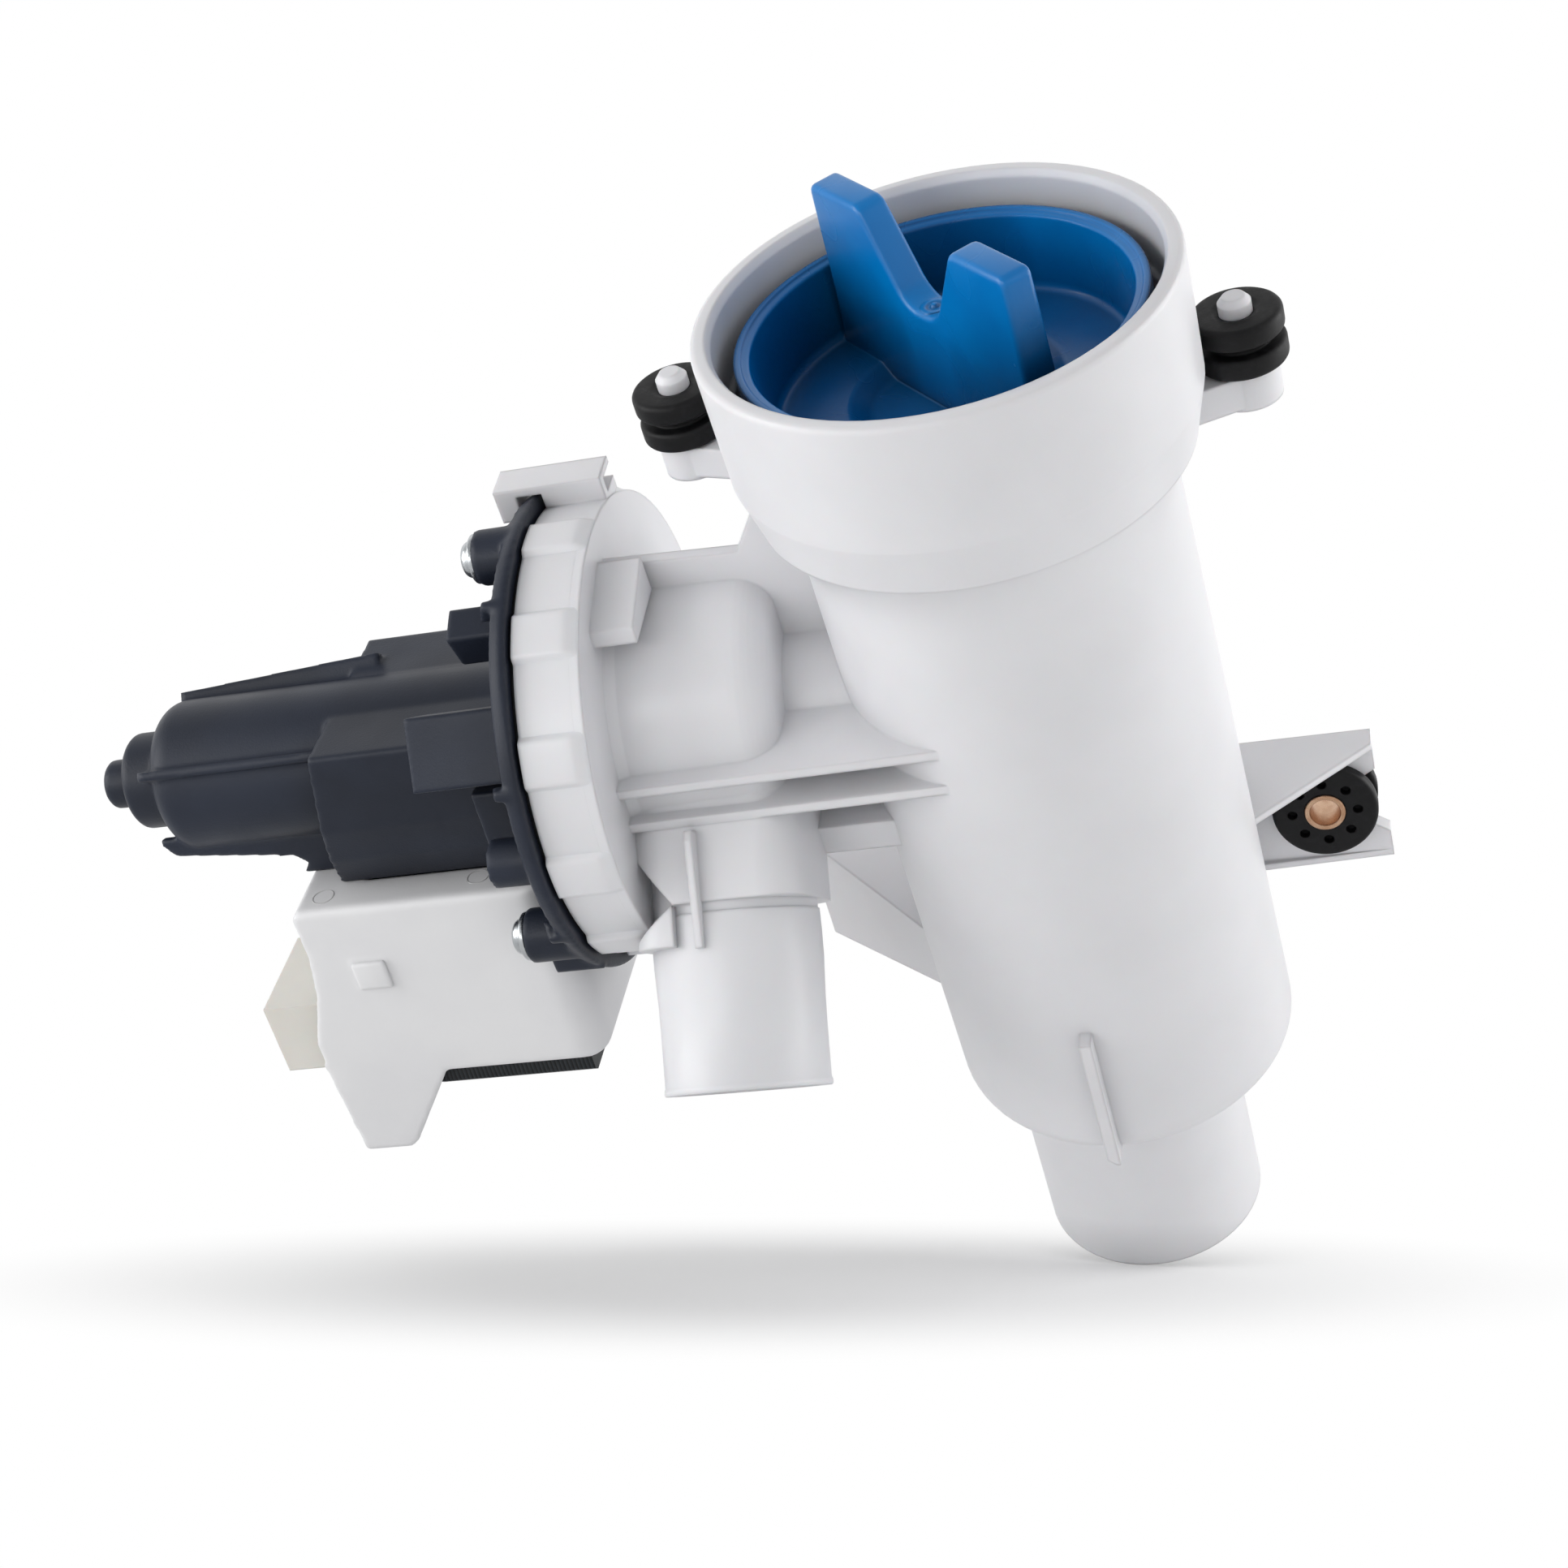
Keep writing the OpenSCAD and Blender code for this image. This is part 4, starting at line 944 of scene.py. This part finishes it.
@dataclass
class RearMount:
    """The larger spool in the slot of the rear bracket, with the brass sleeve through it."""

    place: tuple[float, float, float] = (47.4, 30.0, 79.2)
    tilt: float = 8.0
    radius: float = 10.7
    height: float = 10.0
    groove: float = 3.2
    groove_r: float = 5.4
    sleeve_r: float = 4.15
    bore_r: float = 3.05
    holes: int = 8
    hole_r: float = 1.05
    hole_circle: float = 6.6
    hole_depth: float = 1.8

    def frame(self) -> Matrix:
        """The spool's frame, its Z toward the front."""
        return shift(*self.place) @ turn(90 - self.tilt, "X") @ shift(0, 0, -self.height / 2)

    def spool(self) -> None:
        """Spin the spool, cut the ring of pockets round the sleeve and the slot of the bracket's plate."""
        disc = (self.height - self.groove) / 2
        r, h, bore = self.radius, self.height, self.sleeve_r + 0.05
        profile = [(bore, 0), (r, 0), (r, disc), (self.groove_r, disc), (self.groove_r, disc + self.groove),
                   (r, disc + self.groove), (r, h), (bore, h)]
        rounding = {1: 0.8, 2: 0.6, 5: 0.6, 6: 0.9}
        piece = spun("rear_spool", profile, rounding, self.frame(), 72)
        low = h - self.hole_depth
        for i in range(self.holes):
            spot = self.frame() @ turn(i * 360 / self.holes, "Z") @ shift(self.hole_circle, 0, 0)
            pocket = spun("pocket", [(0, low), (self.hole_r, low), (self.hole_r, h + 2), (0, h + 2)], {},
                          spot, 16)
            piece = combine(piece, pocket, "DIFFERENCE")
        x, _, z = self.place
        slot = block("slot", (x - 12, 28.55, z - 15), (x + 12, 31.85, z + 15), UPRIGHT, 0)
        column = [(0, -2), (self.groove_r, -2), (self.groove_r, h + 2), (0, h + 2)]
        core = spun("core", column, {}, self.frame(), 48)
        piece = combine(piece, combine(slot, core, "DIFFERENCE"), "DIFFERENCE")
        hand_over(piece, Body.HOUSING, "mount_rubber", ("rear_grommet",))

    def sleeve(self) -> None:
        """Spin the brass sleeve with a broken edge inside and out."""
        top = self.height + 0.4
        profile = [(self.bore_r, 0), (self.sleeve_r, 0), (self.sleeve_r, top), (self.bore_r, top)]
        piece = spun("brass_sleeve", profile, {0: 0.3, 1: 0.3, 2: 0.35, 3: 0.35}, self.frame(), 64)
        hand_over(piece, Body.HOUSING, "sleeve_brass", ("rear_sleeve",))

    def build(self) -> None:
        """Make both pieces."""
        self.spool()
        self.sleeve()


@dataclass
class Studio:
    """A white surround, three softboxes, a floor that keeps the shadow, and the photograph's camera.

    Attributes:
        right: the picture's direction to the right, in the part's frame.
        back: direction from the part to the eye.
        eye: place of the camera in metres.
        middle: the point that the softboxes are aimed at.
        focal: focal length in pixels.
        image: side of the photograph in pixels.
        floor_drop: height of the floor along the picture's upright, in metres.
        floor_tone: how much light the floor gives back.
        shadow_px: the shadow's centre in the photograph.
        shadow_reach: where the shadow has faded out, across and in depth, in metres.
        fill: strength of the surround on the part.
        shine: its strength in reflections.
        hush: what is left of it overhead.
        lift: glow of the floor in its shadow.
        lamps: name, place, side in metres and watts of each softbox.
    """

    right: Vector = field(default_factory=lambda: Vector((0.959926, 0.127755, -0.249441)))
    back: Vector = field(default_factory=lambda: Vector((0.257792, -0.751649, 0.607097)))
    eye: Vector = field(default_factory=lambda: Vector((83.816, -398.110, 445.158)) * MM)
    middle: Vector = field(default_factory=lambda: Vector((-45, 0, 125)) * MM)
    focal: float = 3322.5
    image: int = 1932
    floor_drop: float = -0.0153
    floor_tone: float = 0.86
    shadow_px: tuple[float, float] = (960.0, 1575.0)
    shadow_reach: tuple[float, float] = (0.19, 0.084)
    fill: float = 0.8
    shine: float = 1.0
    hush: float = 0.5
    lift: float = 0.07
    lamps: tuple = (("right_softbox", (0.75, 0.25, 0.0), 0.6, 2.5),
                    ("left_softbox", (-0.8, 0.1, 0.2), 0.6, 3.3),
                    ("front_softbox", (-0.5, -0.2, 0.7), 0.5, 3.3))

    @property
    def up(self) -> Vector:
        """The picture's upward direction."""
        return self.back.cross(self.right).normalized()

    def camera(self) -> None:
        """Set the camera at the photograph's place, angle and focal length."""
        data = bpy.data.cameras.new("photo_camera")
        data.sensor_width = 36.0
        data.lens = self.focal / self.image * data.sensor_width
        data.clip_start = 0.01
        camera = bpy.data.objects.new("photo_camera", data)
        bpy.context.scene.collection.objects.link(camera)
        axes = Matrix((self.right, self.up, self.back)).transposed().to_4x4()
        camera.matrix_world = Matrix.Translation(self.eye) @ axes
        bpy.context.scene.camera = camera

    def lamp(self, name: str, place: tuple[float, float, float], size: float, watts: float) -> None:
        """Aim a square softbox at the part.

        Args:
            name: the lamp's name.
            place: metres from the part's middle along the picture's right, up and toward the eye.
            size: side of the softbox in metres.
            watts: its power.
        """
        data = bpy.data.lights.new(name, "AREA")
        data.energy = watts
        data.size = size
        data.shape = "SQUARE"
        lamp = bpy.data.objects.new(name, data)
        bpy.context.scene.collection.objects.link(lamp)
        offset = self.right * place[0] + self.up * place[1] + self.back * place[2]
        lamp.location = self.middle + offset
        lamp.rotation_euler = offset.to_track_quat("Z", "Y").to_euler()

    @staticmethod
    def blend(tree: bpy.types.NodeTree, share: bpy.types.NodeSocket, first: bpy.types.NodeSocket,
              second: bpy.types.NodeSocket) -> bpy.types.NodeSocket:
        """Mix two shaders by a share that goes from the first to the second."""
        return add_node(tree, "ShaderNodeMixShader", links={0: share, 1: first, 2: second}).outputs["Shader"]

    def world(self) -> None:
        """White to the eye; for light and reflections a surround that is darker overhead."""
        world = bpy.data.worlds.new("studio")
        bpy.context.scene.world = world
        world.use_nodes = True
        tree = world.node_tree
        tree.nodes.clear()
        rays = add_node(tree, "ShaderNodeLightPath")
        way = add_node(tree, "ShaderNodeTexCoord").outputs["Generated"]
        above = add_node(tree, "ShaderNodeVectorMath", {1: (0, 0, 1)}, {0: way}, operation="DOT_PRODUCT")
        hush = add_node(tree, "ShaderNodeMapRange",
                        {"From Min": 0.35, "From Max": 0.95, "To Min": 1.0, "To Max": self.hush},
                        {"Value": above.outputs["Value"]}, interpolation_type="SMOOTHSTEP").outputs["Result"]
        fill, shine = (add_node(tree, "ShaderNodeMath", {1: strength}, {0: hush}, operation="MULTIPLY")
                       for strength in (self.fill, self.shine))
        light, gloss = (add_node(tree, "ShaderNodeBackground", {"Color": WHITE},
                                 {"Strength": source.outputs["Value"]}).outputs["Background"]
                        for source in (fill, shine))
        white = add_node(tree, "ShaderNodeBackground", {"Color": WHITE, "Strength": 1.0}).outputs["Background"]
        tent = self.blend(tree, rays.outputs["Is Glossy Ray"], light, gloss)
        mix = self.blend(tree, rays.outputs["Is Camera Ray"], tent, white)
        add_node(tree, "ShaderNodeOutputWorld", links={"Surface": mix})

    def floor(self) -> None:
        """Lay a pale floor square to the picture's upright: it keeps the shadow and is clear from below."""
        normal, across = self.up, self.right
        depth = normal.cross(across).normalized()
        clear_selection()
        bpy.ops.mesh.primitive_grid_add(x_subdivisions=4, y_subdivisions=4, size=6.0)
        floor = bpy.context.object
        floor.name = "floor"
        axes = Matrix((across, depth, normal)).transposed().to_4x4()
        under = Vector((-0.045, 0, 0.04))
        floor.data.transform(Matrix.Translation(under - normal * (under.dot(normal) - self.floor_drop)) @ axes)
        column, row = (pixel - self.image / 2 for pixel in self.shadow_px)
        ray = self.right * (column / self.focal) - self.up * (row / self.focal) - self.back
        spot = self.eye + ray * ((self.floor_drop - self.eye.dot(normal)) / ray.dot(normal))
        material, tree = blank_material("floor_white")
        tone = self.floor_tone
        plain = add_node(tree, "ShaderNodeBsdfDiffuse", {"Color": (tone, tone, tone, 1)}).outputs["BSDF"]
        glow = add_node(tree, "ShaderNodeEmission", {"Color": WHITE, "Strength": self.lift}).outputs["Emission"]
        kept = add_node(tree, "ShaderNodeAddShader", links={0: plain, 1: glow}).outputs["Shader"]
        white = add_node(tree, "ShaderNodeEmission", {"Color": WHITE, "Strength": 1.0}).outputs["Emission"]
        away = add_node(tree, "ShaderNodeVectorMath", {1: spot}, {0: object_place(tree)},
                        operation="SUBTRACT").outputs["Vector"]
        side, deep = (add_node(tree, "ShaderNodeVectorMath", {1: way / reach}, {0: away},
                               operation="DOT_PRODUCT").outputs["Value"]
                      for way, reach in zip((across, depth), self.shadow_reach))
        pair = add_node(tree, "ShaderNodeCombineXYZ", links={"X": side, "Y": deep}).outputs["Vector"]
        far = add_node(tree, "ShaderNodeVectorMath", links={0: pair}, operation="LENGTH").outputs["Value"]
        edge = add_node(tree, "ShaderNodeMapRange", {"From Min": 0.3, "From Max": 1.0}, {"Value": far},
                        interpolation_type="SMOOTHSTEP").outputs["Result"]
        fade = self.blend(tree, edge, kept, white)
        seen = self.blend(tree, add_node(tree, "ShaderNodeLightPath").outputs["Is Camera Ray"], plain, fade)
        clear = add_node(tree, "ShaderNodeBsdfTransparent").outputs["BSDF"]
        sheet = self.blend(tree, add_node(tree, "ShaderNodeNewGeometry").outputs["Backfacing"], seen, clear)
        add_node(tree, "ShaderNodeOutputMaterial", links={"Surface": sheet})
        floor.data.materials.append(material)

    def build(self) -> None:
        """Set up camera, lamps, world and floor."""
        self.camera()
        for name, place, size, watts in self.lamps:
            self.lamp(name, place, size, watts)
        self.world()
        self.floor()
        bpy.context.scene.view_settings.view_transform = "Standard"


def dress_nodes() -> None:
    """Give every CAD node the finish of its slot in the record."""
    for name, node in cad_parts.items():
        for holder in node.material_slots:
            slot = holder.material.name.split(".")[0] if holder.material else ""
            if slot in FINISHES:
                holder.material = finish_material(slot)
        log.info("node %s: %s", name, [h.material.name for h in node.material_slots])


def main() -> None:
    """Build the studio, dress the CAD nodes and build every sub-assembly."""
    logging.basicConfig(level=logging.INFO, format="%(message)s")
    Studio().build()
    dress_nodes()
    for assembly in (FilterCap(),
                     FrontMount("left_spool", "front_grommet_left", (-55.3, 19.0, 195.0)),
                     FrontMount("right_spool", "front_grommet_right", (47.3, 18.0, 193.1)),
                     RearMount(),
                     SoftMoulding("motor_shell", "motor_housing", "dark_polyester"),
                     SoftMoulding("coil_box", "coil_cover", "cover_polyester", passes=6),
                     RimBand(), OutletSkin(), FlangeScrews(), CoverMarks()):
        assembly.build()


if __name__ == "__main__":
    main()
